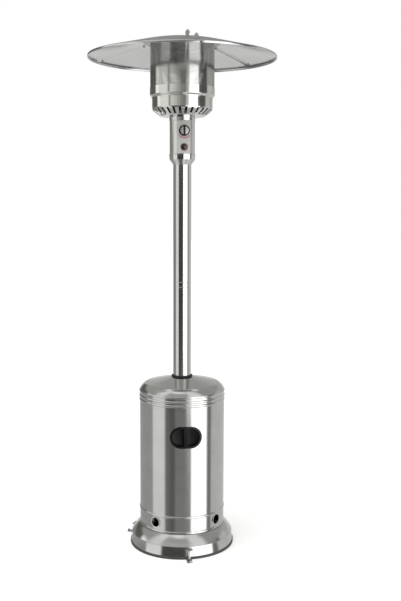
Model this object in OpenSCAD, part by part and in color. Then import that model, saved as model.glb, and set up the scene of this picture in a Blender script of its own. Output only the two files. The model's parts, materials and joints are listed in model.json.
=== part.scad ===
// Mushroom patio heater: a gas burner head on a two-piece pole, a wide
// reflector on top, and a round housing for the gas bottle at the foot.
// Millimetres. +Z is up, the front is -Y, and the origin is on the floor
// at the middle of the base.

/* [Base pan] */
// Outer radius of the base over its edge trim
base_r = 230; // [215:1:260]
// Height of the deck that the gas bottle and the housing stand on
deck_z = 93; // [80:1:110]
// Sheet thickness of the base pan
pan_t = 1.2; // [0.8:0.1:2]
// Height of the crease where the shoulder meets the skirt
crease_z = 54; // [40:1:60]
// Height of the rubber edge trim
trim_h = 11; // [8:0.5:16]
// Radius of the hole in the middle of the deck
deck_hole_r = 30; // [15:1:60]

/* [Floor anchors] */
// Number of anchor brackets round the base
anchors = 3; // [3:1:4]
// How far each bracket's foot reaches beyond the base
anchor_out = 38; // [34:1:60]
// Distance from the base's edge out to the floor holes
anchor_hole_out = 23; // [18:1:26]
// Radius of each floor hole
anchor_hole_r = 3.5; // [2.5:0.1:4.5]
// Width of a bracket's foot
anchor_foot_w = 22; // [16:1:30]
// Width of a bracket's upright
anchor_stem_w = 14; // [10:1:20]
// Thickness of the bracket's steel
anchor_t = 3; // [2:0.5:4]
// Height of the wing screw on the skirt
anchor_screw_z = 44; // [36:1:46]

/* [Bottle housing] */
// Outer radius of the housing
housing_r = 187.3; // [170:0.5:195]
// Height of the housing's shell from the deck to the cover's seam
shell_h = 606; // [560:1:640]
// Sheet thickness of the housing
housing_t = 1; // [0.6:0.1:1.5]
// Rise of the cover's rounded shoulder above the seam
shoulder_h = 32; // [26:1:40]
// Inner radius of the shoulder, where the cone starts
shoulder_in_r = 152; // [140:1:160]
// Rise of the cover's cone from the shoulder to the pole
cone_h = 20; // [14:1:26]
// Number of round air vents near the floor
vents = 4; // [2:1:6]
// Radius of the opening in a vent
vent_r = 21.5; // [14:0.5:22]
// Height of the vents above the deck
vent_up = 43.5; // [40:0.5:48]

/* [Handle] */
// Width of the oval handle round the housing
handle_w = 138; // [120:1:160]
// How far the handle sits round the housing from the front
handle_turn = -2; // [-10:0.5:10]
// Height of the oval handle
handle_h = 94; // [80:1:110]
// Height of the handle's middle above the deck
handle_up = 428; // [350:1:480]
// Depth of the two finger pockets
pocket_depth = 22; // [15:1:30]

/* [Pole] */
// Outer radius of the pole
pole_r = 39.2; // [34:0.1:44]
// Wall of the pole tubes
pole_t = 1.2; // [0.8:0.1:2]
// Height of the joint between the two pole tubes
joint_z = 1159.5; // [1000:0.5:1300]
// Height of the pole's top end, where the neck cone starts
pole_top_z = 1675; // [1600:1:1720]
// Depth of the rolled grooves beside the joint
groove_d = 1; // [0.5:0.1:1.5]

/* [Legs] */
// Outer radius of a leg tube
leg_r = 10; // [8:0.5:12]
// Wall of a leg tube
leg_t = 1.5; // [1:0.1:2.5]
// Distance from the housing's outside in to the middle of the legs
leg_in = 16.3; // [16:0.1:24]
// Distance from the cover's shoulder down to the socket's lower end
socket_down = 89; // [80:1:110]
// Height of the socket
socket_h = 62; // [50:1:70]

/* [Control head] */
// Outer radius of the control housing
head_r = 55.8; // [50:0.1:60]
// Rise of the neck cone
neck_rise = 22; // [16:0.5:30]
// Rise of the band above the neck cone
neck_band = 17; // [12:0.5:22]
// Height of the control housing above the neck
control_h = 165; // [150:1:180]
// Depth of the band that holds the front plate
recess_d = 1.3; // [1.1:0.1:2]
// Half of the angle that the front plate covers
plate_half_angle = 33; // [28:1:40]
// Height of the knob's axis above the neck
knob_up = 102; // [95:1:110]
// Height of the igniter's axis above the neck
igniter_up = 34; // [30:1:40]
// Radius of the control knob
knob_r = 23; // [18:0.5:26]
// Depth of the control knob from its back to its ridge
knob_depth = 20; // [16:0.5:24]
// How far the knob pushes in
knob_travel = 4; // [2:0.5:5]
// Radius of the igniter button
button_r = 11.5; // [8:0.5:12]
// How far the igniter button travels
button_travel = 5; // [3:0.5:6]

/* [Burner head] */
// Outer radius of the perforated emitter screen
screen_r = 137.1; // [125:0.5:150]
// Wall of the screen
screen_t = 1; // [0.6:0.1:1.5]
// Outer radius of the burner bowl
bowl_r = 129.3; // [115:0.5:132]
// Radius of the bowl's flat bottom
bowl_floor_r = 96; // [85:1:105]
// Rise of the bowl's slotted taper
bowl_taper_h = 33; // [26:1:40]
// Height of the bowl's straight wall, up to the collar
bowl_wall_h = 41; // [34:1:50]
// Sheet thickness of the bowl
bowl_t = 1; // [0.7:0.1:1.5]
// Number of air slots round the taper
slots = 30; // [20:1:36]
// Width of an air slot
slot_w = 10; // [5:0.5:12]
// Height of the collar band
collar_h = 48; // [40:1:56]
// Thickness of the collar band
collar_t = 1.4; // [1:0.1:3]
// Height of the screen that shows above the collar
screen_show = 184; // [150:1:200]
// Radius of the head's top plate
top_plate_r = 163; // [150:1:175]

/* [Reflector] */
// Radius of the reflector
reflector_r = 402; // [360:1:440]
// Number of reflector panels
panels = 3; // [3:1:4]
// Sheet thickness of a panel
panel_t = 1; // [0.6:0.1:1.5]
// Height of the turned-down rim
rim_h = 10; // [6:0.5:14]
// Steepness of the outer slope, as rise over run
slope_share = 0.254; // [0.2:0.002:0.3]
// Radius inside which the slope flattens
crown_r = 200; // [150:1:240]
// Width of the lap where two panels overlap
lap_w = 18; // [14:1:24]
// How far the reflector's seams are turned from the front
reflector_turn = 2; // [-10:0.5:10]
// Height of the reflector's middle above the top plate
reflector_up = 20.8; // [18:0.1:30]
// Radius from the middle to the inner seam screws
inner_screw_r = 180; // [170:1:250]
// Distance from the rim to the outer seam screws
outer_screw_in = 24; // [18:1:40]

/* [Hidden] */
$fn = 96;

// Clearances and the overrun of every cut
fit_gap = 0.3;
lap_gap = 0.1;
run_gap = 0.05;
over = 2;

// Angles seen from above: 270 is the front
front = 270;
rear = 90;
leg_angles = [rear, 193, 347];
leg_names = ["rear", "left", "right"];

// Base pan
skirt_foot_in = 2.6;
skirt_mid_in = 4;
shoulder_in = 8;
flare_up = 1;
deck_edge_w = 3;
skirt_foot_r = base_r - skirt_foot_in;
skirt_mid_r = base_r - skirt_mid_in;
shoulder_r = base_r - shoulder_in;
pan_edge_z = 2;
flare_z = trim_h + flare_up;
skirt_top_r = shoulder_r;
deck_r = housing_r + deck_edge_w;
shoulder_steps = 8;
shoulder_bulge_share = 0.14;
trim_wall = 1.3;

// Floor anchors
anchor_gap = 1;
anchor_top_up = 8;
anchor_lean_r = base_r + anchor_gap;
anchor_reach = base_r + anchor_out;
anchor_hole_ring = base_r + anchor_hole_out;
anchor_top_z = anchor_screw_z + anchor_top_up;
anchor_toe_h = 9;
anchor_screw_r = 3;
wing_span = 34;
wing_h = 13;
wing_t = 3;
hub_r = 6;

// Housing and its cover
shell_z0 = deck_z + fit_gap;
seam_z = deck_z + shell_h;
bottom_bead_w = 12;
bottom_bead_proud = 2.5;
bead_w = 12;
bead_proud = 2.5;
top_bead_steps = [6.5, 27, 44];
cover_lip = 14;
cover_z = seam_z + shoulder_h;
cone_z = cover_z + cone_h;
grommet_h = 7;
grommet_wall = 5;
grommet_flange = 1.6;
grommet_in_r = pole_r + fit_gap;
cover_hole_r = grommet_in_r + grommet_wall / 2;
shoulder_curve_steps = 10;
shoulder_from = 30;
shoulder_to = 75;
vent_rim_w = 2.5;
vent_rim_proud = 1.5;
vent_rim_deep = 4;
low_bead_up = vent_up + vent_r + vent_rim_w + bead_w / 2 + fit_gap;
vent_angles = [for (i = [0 : vents - 1]) front + (i + 0.5) * 360 / vents];
rivet_r = 2.4;
rivet_proud = 1.4;
rivet_angles = [rear - 80, rear, rear + 80];

// Handle
handle_z = deck_z + handle_up;
handle_angle = front + handle_turn;
handle_wall = 2;
handle_rim = 9;
handle_proud = 3;
grip_w = 18;

// Legs, socket and their bolts
leg_bend_angle = 45;
leg_bend_r = 40;
leg_ring_r = housing_r - leg_in;
socket_z = cover_z - socket_down;
leg_foot_t = 3;
leg_foot_w = 30;
leg_tab_t = 4;
bolt_r = 4;
bolt_head_r = 7;
bolt_head_h = 5;
nut_h = 6.5;
socket_wall = 3;
ear_t = 5;
ear_w = 26;
ear_reach = 96;
ear_up = 14;
ear_z = socket_z + ear_up;
ear_bolt_in = 10;
pole_seat_t = 3;
clamp_screw_r = 3;

// Pole
groove_w = 5;
groove_off = 10.5;
coupler_half = 62;
coupler_t = 1.5;
pole_screw_r = 2;
pole_screw_off = 42;
pole_bottom_z = socket_z + pole_seat_t;

// Control head
neck_z = pole_top_z;
neck_band_z = neck_z + neck_rise;
control_z0 = neck_band_z + neck_band;
control_z1 = control_z0 + control_h;
head_t = 1.2;
recess_margin_low = 7;
recess_margin_top = 20;
knob_z = neck_band_z + neck_band + knob_up;
igniter_z = control_z0 + igniter_up;
plate_t = 1;
plate_in_r = head_r - recess_d;
plate_out_r = plate_in_r + plate_t;
plate_z0 = control_z0 + recess_margin_low;
plate_z1 = control_z1 - recess_margin_top;
plate_stud_r = 1.5;
plate_stud_inset = 7;
plate_nut_r = 2.8;
plate_nut_h = 2.4;
neck_sleeve_h = 18;
neck_pole_head_r = 3.4;
neck_pole_head_h = 1.8;
neck_t = 1.2;
neck_overlap = recess_margin_low - recess_d - 4 * fit_gap;
neck_screw_r = 1.2;
neck_screw_head_r = 2.1;
neck_screw_head_h = 1.2;
neck_sleeve_z = control_z0 - neck_t - lap_gap - neck_sleeve_h / 2;

// Gas valve and what turns it
valve_w = 36;
valve_back = 14;
valve_front = 30;
valve_h = 44;
valve_boss_r = 11;
valve_boss_l = 8;
plug_r = 8;
plug_in = 20;
plug_nose = 2;
stem_in_knob = 10;
valve_out_r = 8;
valve_out_h = 12;
stem_r = 4;
stem_in = 16;
bracket_t = 2;
inlet_r = 6.5;
inlet_hex_r = 9.5;
inlet_hex_h = 9;
inlet_l = 34;
knob_gap = 0.6;
knob_back = plate_out_r + knob_travel + knob_gap;
knob_ridge_w = 7;
knob_ridge_in = 1.5;
knob_ridge_up = 5;
knob_bevel_h = 4;
knob_rim = 2.4;
inlay_t = 1;
inlay_deep = 1.6;

// Igniter and tilt switch
igniter_wall = 1.5;
igniter_l = 38;
bezel_w = 2.4;
bezel_proud = 3;
button_proud = 8;
button_crown = 3;
button_tail_r = 5;
button_tail_l = 18;
igniter_r = button_r + fit_gap + igniter_wall;
tilt_w = 20;
tilt_d = 14;
tilt_h = 26;

// Burner head
bowl_z = control_z1 + fit_gap;
bowl_taper_z = bowl_z + bowl_taper_h;
bowl_top_z = bowl_taper_z + bowl_wall_h;
collar_lap = 2;
collar_z0 = bowl_top_z - collar_lap;
collar_z1 = collar_z0 + collar_h;
collar_r = screen_r + lap_gap + collar_t;
collar_step_h = 15;
screen_z0 = collar_z0 + collar_step_h + fit_gap * 2;
screen_z1 = collar_z1 + screen_show;
top_plate_t = 1.5;
top_plate_z = screen_z1;
bowl_corner_r = 14;
bowl_corner_steps = 5;
bowl_hole_r = 44;
slot_top_in = 3;
slot_foot_in = 6;
bowl_screw_ring = 50;
bowl_screw_r = 2;
bowl_screw_head_r = 3.5;
bowl_screw_head_h = 2;
bowl_flange_t = 1.2;
burner_plate_in = 6;
burner_plate_z = bowl_top_z - burner_plate_in;
burner_plate_t = 1.2;
burner_cup_r = 62;
burner_cup_h = 42;
burner_cup_t = 1.2;
burner_ports = 24;
burner_port_r = 2.5;
mixing_r = 16;
mixing_t = 1.5;
mixing_in = 6;
mixing_z0 = control_z1 - mixing_in;
air_hole_r = 5;
orifice_r = 5;
orifice_hex_r = 8;
orifice_h = 12;
probe_ring = 78;
probe_r = 1.8;
probe_gap_angle = 14;
probe_angle = 300;
pilot_r = 4;
pilot_up = 26;
probe_up = 34;
probe_flange_r = 5;
probe_flange_h = 3;
probe_tail = 40;

// Reflector
reflector_z = top_plate_z + top_plate_t + reflector_up;
panel_angle = 360 / panels;
panel_mid_angles = [for (i = [0 : panels - 1]) rear + reflector_turn + i * panel_angle];
panel_names = ["rear", "left", "right", "front"];
panel_hole_r = 22;
slope_steps = 3;
crown_steps = 6;
joggle_w = 2;
lap_drop = panel_t + lap_gap;
stud_ring = 60;
stud_r = 3;
stud_tail = 8;
spacer_r = 6;
stud_nut_h = 4.5;
stud_nut_r = 5.8;
seam_screw_r = 2.5;
seam_head_r = 5;
seam_head_h = 2.2;
seam_nut_reach = 25;
wing_nut_h = 20;
wing_nut_hub_h = 8;
wing_nut_span = 26;
wing_nut_t = 3;
wing_nut_turn = 28;
wing_nut_hub_r = 5;
outer_screw_r = reflector_r - outer_screw_in;

// Unit vectors and sheet outlines
function unit(v) = v / norm(v);
function left_of(a, b) = let (d = unit(b - a)) [-d[1], d[0]];
function corner(p, i) =
    i == 0 ? left_of(p[0], p[1]) :
    i == len(p) - 1 ? left_of(p[i - 1], p[i]) :
    let (n = unit(left_of(p[i - 1], p[i]) + left_of(p[i], p[i + 1])))
    n / (n * left_of(p[i], p[i + 1]));
function shifted(p, d) = [for (i = [0 : len(p) - 1]) p[i] + d * corner(p, i)];
function reversed(p) = [for (i = [len(p) - 1 : -1 : 0]) p[i]];
function sheet(p, from, to) = concat(shifted(p, from), reversed(shifted(p, to)));

// Points on part of an ellipse from [r0, z0] to [r1, z1], where 0 is its side and 90 its top
function bend(r0, z0, r1, z1, from, to, steps) =
    [for (i = [0 : steps])
        let (a = from + (to - from) * i / steps,
             across = (cos(from) - cos(a)) / (cos(from) - cos(to)),
             up = (sin(a) - sin(from)) / (sin(to) - sin(from)))
        [r0 + (r1 - r0) * across, z0 + (z1 - z0) * up]];

// Places a part of a ring at a radius and an angle, with +X pointing outwards
module at(angle, radius = 0, z = 0) {
    rotate([0, 0, angle]) translate([radius, 0, z]) children();
}

// A round bar along the local +X axis
module bar_x(r, l) {
    rotate([0, 90, 0]) cylinder(r = r, h = l);
}

module ring(r_out, r_in, h) {
    rotate_extrude() translate([r_in, 0]) square([r_out - r_in, h]);
}

module hexagon(r, h) {
    cylinder(r = r, h = h, $fn = 6);
}

// Half of a flat circle that stands proud of a wall as a rolled bead
module bead_2d(wall_r, z, w, proud) {
    arc_r = (w * w / 4 + proud * proud) / (2 * proud);
    intersection() {
        translate([wall_r + proud - arc_r, z]) circle(r = arc_r);
        translate([wall_r - proud / 2, z - w / 2]) square([2 * proud, w]);
    }
}

// Two wings on a hub, as on a wing nut or a wing screw, along local +Z
module wings(hub_radius, hub_h, span, h, t) {
    cylinder(r = hub_radius, h = hub_h);
    for (side = [-1, 1])
        translate([side * (span / 2 - h / 2), 0, h / 2])
            rotate([90, 0, 0])
                difference() {
                    translate([0, 0, -t / 2]) cylinder(r = h / 2, h = t);
                    translate([-side * h, 0, -t]) cylinder(r = h / 2, h = 2 * t);
                }
    translate([-(span / 2 - h / 2), -t / 2, 0]) cube([span - h, t, hub_h]);
}

// Base pan: skirt, rounded shoulder and the deck
shoulder_curve = [for (i = [0 : shoulder_steps])
    let (s = i / shoulder_steps,
         bulge = shoulder_bulge_share * (skirt_top_r - deck_r) * sin(180 * s))
    [skirt_top_r + (deck_r - skirt_top_r) * s + bulge, crease_z + (deck_z - crease_z) * s + bulge]];
pan_outline = concat(
    [[skirt_foot_r, pan_edge_z], [skirt_foot_r, flare_z], [skirt_mid_r, flare_z + trim_h / 2]],
    shoulder_curve,
    [[deck_hole_r, deck_z]]);

module base_pan() {
    color("silver") difference() {
        rotate_extrude() polygon(sheet(pan_outline, 0, pan_t));
        for (a = leg_angles)
            at(a, leg_ring_r, deck_z - pan_t - over) cylinder(r = bolt_r + run_gap, h = pan_t + 2 * over);
        for (i = [0 : anchors - 1])
            at(front + i * 360 / anchors, skirt_mid_r - hub_r * 2, anchor_screw_z)
                bar_x(anchor_screw_r + run_gap, hub_r * 4);
    }
}

module base_edge_trim() {
    color("dimgray") rotate_extrude() difference() {
        translate([skirt_foot_r - pan_t - trim_wall, 0])
            square([base_r - skirt_foot_r + pan_t + trim_wall, trim_h]);
        translate([skirt_foot_r - pan_t - lap_gap, pan_edge_z - lap_gap])
            square([pan_t + 2 * lap_gap, trim_h]);
    }
}

// Outline of a bracket seen from its side: foot, raised toe and leaning upright
function skirt_r_at(z) =
    skirt_mid_r + (skirt_top_r - skirt_mid_r) * (z - flare_z) / (crease_z - flare_z);
anchor_top_r = skirt_r_at(anchor_top_z) + fit_gap;
anchor_outline = [
    [anchor_lean_r, 0], [anchor_reach, 0], [anchor_reach, anchor_toe_h],
    [anchor_reach - anchor_t, anchor_toe_h], [anchor_reach - anchor_t, anchor_t],
    [anchor_lean_r + anchor_t, anchor_t], [anchor_lean_r + anchor_t, trim_h],
    [anchor_top_r + anchor_t, anchor_top_z], [anchor_top_r, anchor_top_z], [anchor_lean_r, trim_h]];

module anchor_brackets() {
    color("lightgray") for (i = [0 : anchors - 1])
        rotate([0, 0, front + i * 360 / anchors]) difference() {
            union() {
                rotate([90, 0, 0]) translate([0, 0, -anchor_stem_w / 2])
                    linear_extrude(anchor_stem_w) polygon(anchor_outline);
                translate([anchor_lean_r, -anchor_foot_w / 2, 0])
                    cube([anchor_reach - anchor_lean_r, anchor_foot_w, anchor_t]);
            }
            translate([anchor_hole_ring, 0, -over]) cylinder(r = anchor_hole_r, h = anchor_t + 2 * over);
            translate([shoulder_r - hub_r, 0, anchor_screw_z]) bar_x(anchor_screw_r + run_gap, hub_r * 4);
        }
}

anchor_face_r = anchor_top_r + anchor_t
    + (anchor_lean_r - anchor_top_r) * (anchor_top_z - anchor_screw_z + hub_r) / (anchor_top_z - trim_h);

module anchor_wing_screws() {
    nut_face = skirt_r_at(anchor_screw_z) - 2 * pan_t - hub_r / 2;
    color("gainsboro") for (i = [0 : anchors - 1])
        rotate([0, 0, front + i * 360 / anchors]) translate([0, 0, anchor_screw_z]) {
            translate([nut_face - nut_h - over, 0, 0])
                bar_x(anchor_screw_r, anchor_face_r + hub_r / 2 - nut_face + nut_h + over);
            translate([nut_face - nut_h, 0, 0]) rotate([0, 90, 0])
                difference() {
                    hexagon(hub_r, nut_h);
                    translate([0, 0, -over]) cylinder(r = anchor_screw_r + run_gap, h = nut_h + 2 * over);
                }
            translate([anchor_face_r + lap_gap, 0, 0]) rotate([90, 0, 90])
                wings(hub_r, wing_h / 2, wing_span, wing_h, wing_t);
        }
}

// Legs: a foot plate, a tube that bends in under the socket, and a tab on the ear
leg_top_r = ear_reach + fit_gap + leg_r / cos(leg_bend_angle);
leg_bend_end_r = leg_ring_r - leg_bend_r * (1 - cos(leg_bend_angle));
leg_arm_l = (leg_bend_end_r - leg_top_r) / sin(leg_bend_angle);
leg_bend_end_z = ear_z - leg_arm_l * cos(leg_bend_angle);
leg_bend_z = leg_bend_end_z - leg_bend_r * sin(leg_bend_angle);

module tube_2d() {
    difference() {
        circle(r = leg_r);
        circle(r = leg_r - leg_t);
    }
}

module leg(a) {
    color("darkgray") rotate([0, 0, a]) {
        translate([leg_ring_r, 0, deck_z + leg_foot_t])
            linear_extrude(leg_bend_z - deck_z - leg_foot_t) tube_2d();
        translate([leg_ring_r - leg_bend_r, 0, leg_bend_z]) rotate([90, 0, 0])
            rotate_extrude(angle = leg_bend_angle) translate([leg_bend_r, 0]) tube_2d();
        difference() {
            translate([leg_bend_end_r, 0, leg_bend_end_z]) rotate([0, -leg_bend_angle, 0])
                linear_extrude(leg_arm_l + 2 * leg_r) tube_2d();
            translate([0, -leg_r - over, ear_z + leg_tab_t])
                cube([leg_ring_r, 2 * (leg_r + over), socket_h]);
        }
        difference() {
            translate([leg_ring_r - leg_foot_w + leg_r, -leg_foot_w / 2, deck_z])
                cube([leg_foot_w, leg_foot_w, leg_foot_t]);
            translate([leg_ring_r, 0, deck_z - over])
                cylinder(r = bolt_r + run_gap, h = leg_foot_t + 2 * over);
        }
        difference() {
            translate([ear_reach - 2 * ear_bolt_in, -ear_w / 2, ear_z])
                cube([leg_top_r - ear_reach + 2 * ear_bolt_in, ear_w, leg_tab_t]);
            translate([ear_reach - ear_bolt_in, 0, ear_z - over])
                cylinder(r = bolt_r + run_gap, h = leg_tab_t + 2 * over);
        }
    }
}

// Bolts that hold the feet to the deck: head under the deck, nut inside the leg tube
module leg_foot_bolts() {
    color("dimgray") for (a = leg_angles)
        at(a, leg_ring_r, deck_z - pan_t) {
            translate([0, 0, -bolt_head_h]) hexagon(bolt_head_r, bolt_head_h);
            cylinder(r = bolt_r, h = pan_t + leg_foot_t + nut_h + over);
            translate([0, 0, pan_t + leg_foot_t]) hexagon(bolt_head_r, nut_h);
        }
}

module leg_top_bolts() {
    color("dimgray") for (a = leg_angles)
        at(a, ear_reach - ear_bolt_in, ear_z - ear_t) {
            translate([0, 0, -bolt_head_h]) hexagon(bolt_head_r, bolt_head_h);
            cylinder(r = bolt_r, h = ear_t + leg_tab_t + nut_h + over);
            translate([0, 0, ear_t + leg_tab_t]) hexagon(bolt_head_r, nut_h);
        }
}

module pole_socket() {
    color("gray") difference() {
        union() {
            translate([0, 0, socket_z]) cylinder(r = pole_r + socket_wall, h = socket_h);
            for (a = leg_angles)
                rotate([0, 0, a]) translate([0, -ear_w / 2, ear_z - ear_t]) cube([ear_reach, ear_w, ear_t]);
        }
        translate([0, 0, pole_bottom_z]) cylinder(r = pole_r + run_gap, h = socket_h + over);
        translate([0, 0, socket_z - over]) cylinder(r = pole_r - 2 * socket_wall, h = socket_h);
        for (a = leg_angles)
            at(a, ear_reach - ear_bolt_in, ear_z - ear_t - over)
                cylinder(r = bolt_r + run_gap, h = ear_t + 2 * over);
        at(front, 0, socket_z + socket_h - ear_w / 2) bar_x(clamp_screw_r + run_gap, pole_r * 2);
    }
}

module socket_clamp_screw() {
    color("dimgray") at(front, 0, socket_z + socket_h - ear_w / 2) {
        translate([pole_r - 2 * pole_t - over, 0, 0]) bar_x(clamp_screw_r, socket_wall + 2 * pole_t + over);
        translate([pole_r + socket_wall, 0, 0]) bar_x(bolt_head_r, bolt_head_h);
    }
}

// A pole tube with a rolled groove at one end
module pole_tube(z0, z1, groove_z) {
    rotate_extrude() difference() {
        translate([pole_r - pole_t, z0]) square([pole_t, z1 - z0]);
        bead_groove_2d(groove_z);
    }
}

module bead_groove_2d(z) {
    translate([pole_r + groove_w / 2 - groove_d / 2, z]) circle(r = groove_w / 2);
}

module pole_screw_holes(z) {
    for (side = [0, 180])
        at(front + side, 0, z) bar_x(pole_screw_r + run_gap, pole_r + over);
}

module lower_pole() {
    color("lightsteelblue") difference() {
        pole_tube(pole_bottom_z, joint_z - lap_gap / 2, joint_z - groove_off);
        pole_screw_holes(joint_z - pole_screw_off);
        at(front, 0, socket_z + socket_h - ear_w / 2) bar_x(clamp_screw_r + run_gap, pole_r * 2);
    }
}

module upper_pole() {
    color("lightsteelblue") difference() {
        pole_tube(joint_z + lap_gap / 2, control_z0 - neck_t - lap_gap, joint_z + groove_off);
        pole_screw_holes(joint_z + pole_screw_off);
        rotate([0, 0, rear]) pole_screw_holes(neck_sleeve_z);
    }
}

coupler_r = pole_r - pole_t - run_gap;

module pole_coupler() {
    color("slategray") difference() {
        translate([0, 0, joint_z - coupler_half]) ring(coupler_r, coupler_r - coupler_t, 2 * coupler_half);
        for (s = [-1, 1]) pole_screw_holes(joint_z + s * pole_screw_off);
        translate([0, 0, joint_z]) rotate_extrude()
            for (s = [-1, 1])
                translate([coupler_r + groove_w / 2 - groove_d, s * groove_off]) circle(r = groove_w / 2);
    }
}

// Headless screws, flush with the pole so that the housing's cover slides past them
module pole_screws() {
    color("dimgray") for (side = [0, 180], s = [-1, 1])
        at(front + side, coupler_r - coupler_t - over, joint_z + s * pole_screw_off)
            bar_x(pole_screw_r, pole_r - pole_t / 4 - coupler_r + coupler_t + over);
}

// Neck: a cone from the pole to the control housing, with a sleeve on the pole
neck_outline = [
    [pole_r + run_gap, neck_z], [head_r, neck_band_z], [head_r, control_z0 - lap_gap]];

module neck_cone() {
    color("silver") difference() {
        union() {
            rotate_extrude() intersection() {
                polygon(sheet(neck_outline, 0, neck_t));
                translate([pole_r + run_gap, neck_z]) square([head_r, neck_rise + neck_band]);
            }
            translate([0, 0, control_z0 - neck_t - lap_gap])
                ring(head_r, pole_r + run_gap, neck_t);
            translate([0, 0, control_z0 - neck_t - lap_gap - neck_sleeve_h])
                ring(pole_r + run_gap + neck_t, pole_r + run_gap, neck_sleeve_h + neck_t);
            translate([0, 0, control_z0 - neck_t - lap_gap])
                ring(head_r - head_t - lap_gap, head_r - 2 * head_t - lap_gap, neck_t + neck_overlap);
        }
        for (side = [0, 180])
            at(side, 0, control_z0 + neck_overlap / 2) bar_x(neck_screw_r + run_gap, head_r + over);
        for (side = [0, 180])
            at(side, 0, neck_sleeve_z) bar_x(pole_screw_r + run_gap, pole_r + 2 * neck_t + over);
    }
}

module neck_screws() {
    color("dimgray") for (side = [0, 180]) {
        at(side, pole_r - pole_t - over, neck_sleeve_z) {
            bar_x(pole_screw_r, over + pole_t + neck_t + lap_gap);
            translate([over + pole_t + neck_t + lap_gap, 0, 0]) bar_x(neck_pole_head_r, neck_pole_head_h);
        }
        at(side, 0, control_z0 + neck_overlap / 2) {
            translate([head_r - 2 * head_t - over, 0, 0]) bar_x(neck_screw_r, 2 * head_t + over);
            translate([head_r, 0, 0]) bar_x(neck_screw_head_r, neck_screw_head_h);
        }
    }
}

// Control housing: a tube with a shallow band round its middle for the front plate
control_outline = [
    [head_r, control_z0], [head_r, plate_z0 - fit_gap - recess_d], [plate_in_r, plate_z0 - fit_gap],
    [plate_in_r, plate_z1 + fit_gap], [head_r, plate_z1 + fit_gap + recess_d], [head_r, control_z1]];
window_w_share = 0.8;
window_margin = 11;

module control_housing() {
    window_w = 2 * plate_in_r * sin(plate_half_angle) * window_w_share;
    color("silver") difference() {
        union() {
            rotate_extrude() polygon(sheet(control_outline, 0, head_t));
            translate([0, 0, control_z1 - bowl_flange_t]) ring(head_r, bowl_hole_r, bowl_flange_t);
        }
        translate([-window_w / 2, -head_r - over, plate_z0 + window_margin])
            cube([window_w, head_r, plate_z1 - plate_z0 - 2 * window_margin]);
        for (side = [0, 180])
            at(side, 0, control_z0 + neck_overlap / 2) bar_x(neck_screw_r + run_gap, head_r + over);
        for (side = [0, 180])
            at(side, bowl_screw_ring, control_z1 - over) cylinder(r = bowl_screw_r + run_gap, h = 2 * over);
        for (z = [plate_z0 + plate_stud_inset, plate_z1 - plate_stud_inset])
            at(front, plate_in_r - 2 * head_t, z) bar_x(plate_stud_r + run_gap, 4 * head_t);
    }
}

module control_plate() {
    color("gainsboro") difference() {
        rotate([0, 0, front - plate_half_angle]) rotate_extrude(angle = 2 * plate_half_angle)
            translate([plate_in_r + run_gap, plate_z0]) square([plate_t - run_gap, plate_z1 - plate_z0]);
        at(front, 0, knob_z) bar_x(stem_r + fit_gap, head_r + over);
        at(front, 0, igniter_z) bar_x(igniter_r + lap_gap, head_r + over);
    }
}

// Studs on the back of the plate, with nuts inside the control housing
module plate_studs() {
    wall_in = plate_in_r - head_t - lap_gap;
    color("dimgray") for (z = [plate_z0 + plate_stud_inset, plate_z1 - plate_stud_inset])
        at(front, 0, z) {
            translate([wall_in - plate_nut_h - over, 0, 0])
                bar_x(plate_stud_r, plate_in_r - wall_in + plate_nut_h + over);
            translate([wall_in - plate_nut_h, 0, 0]) bar_x(plate_nut_r, plate_nut_h);
        }
}

// Gas valve: a brass block on the pole's axis, with its outlet on top
valve_z0 = knob_z - valve_h / 2;

module gas_valve() {
    color("goldenrod") difference() {
        union() {
            translate([-valve_w / 2, -valve_front, valve_z0]) cube([valve_w, valve_front + valve_back, valve_h]);
            at(front, valve_front, knob_z) bar_x(valve_boss_r, valve_boss_l);
            translate([0, 0, valve_z0 + valve_h]) cylinder(r = valve_out_r, h = valve_out_h);
        }
        at(front, valve_front - plug_in, knob_z) bar_x(plug_r + run_gap, plug_in + valve_boss_l + over);
        translate([0, 0, valve_z0 - over]) cylinder(r = inlet_r + run_gap, h = over + inlet_hex_h);
        translate([0, 0, valve_z0 + valve_h]) cylinder(r = orifice_r + run_gap, h = valve_out_h + over);
    }
}

module valve_bracket() {
    bracket_y = valve_back + lap_gap;
    bracket_half = sqrt(pow(plate_in_r - head_t - fit_gap, 2) - pow(bracket_y + bracket_t, 2));
    color("darkgray") {
        translate([-bracket_half, bracket_y, valve_z0]) cube([2 * bracket_half, bracket_t, valve_h]);
    }
}

module gas_inlet_fitting() {
    color("goldenrod") difference() {
        union() {
            translate([0, 0, valve_z0 - inlet_l]) cylinder(r = inlet_r, h = inlet_l + inlet_hex_h - lap_gap);
            translate([0, 0, valve_z0 - inlet_hex_h - lap_gap]) hexagon(inlet_hex_r, inlet_hex_h);
        }
        translate([0, 0, valve_z0 - inlet_l - over]) cylinder(r = inlet_r / 2, h = inlet_l + over);
    }
}

// Plug that turns in the valve's bore and carries the stem in its own bore
module valve_plug() {
    color("peru") difference() {
        at(front, valve_front - plug_in + fit_gap, knob_z)
            bar_x(plug_r, plug_in + valve_boss_l + plug_nose - fit_gap);
        at(front, valve_front - stem_in - knob_travel, knob_z)
            bar_x(stem_r + run_gap, stem_in + knob_travel + valve_boss_l + plug_nose + over);
    }
}

module valve_stem() {
    color("silver") at(front, valve_front - stem_in + fit_gap, knob_z)
        bar_x(stem_r, stem_in - fit_gap + knob_back - valve_front + stem_in_knob);
}

// Knob: a round body with a ridge to grip and a lens-shaped recess on each side of it
knob_face = knob_depth - knob_ridge_up;

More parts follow.
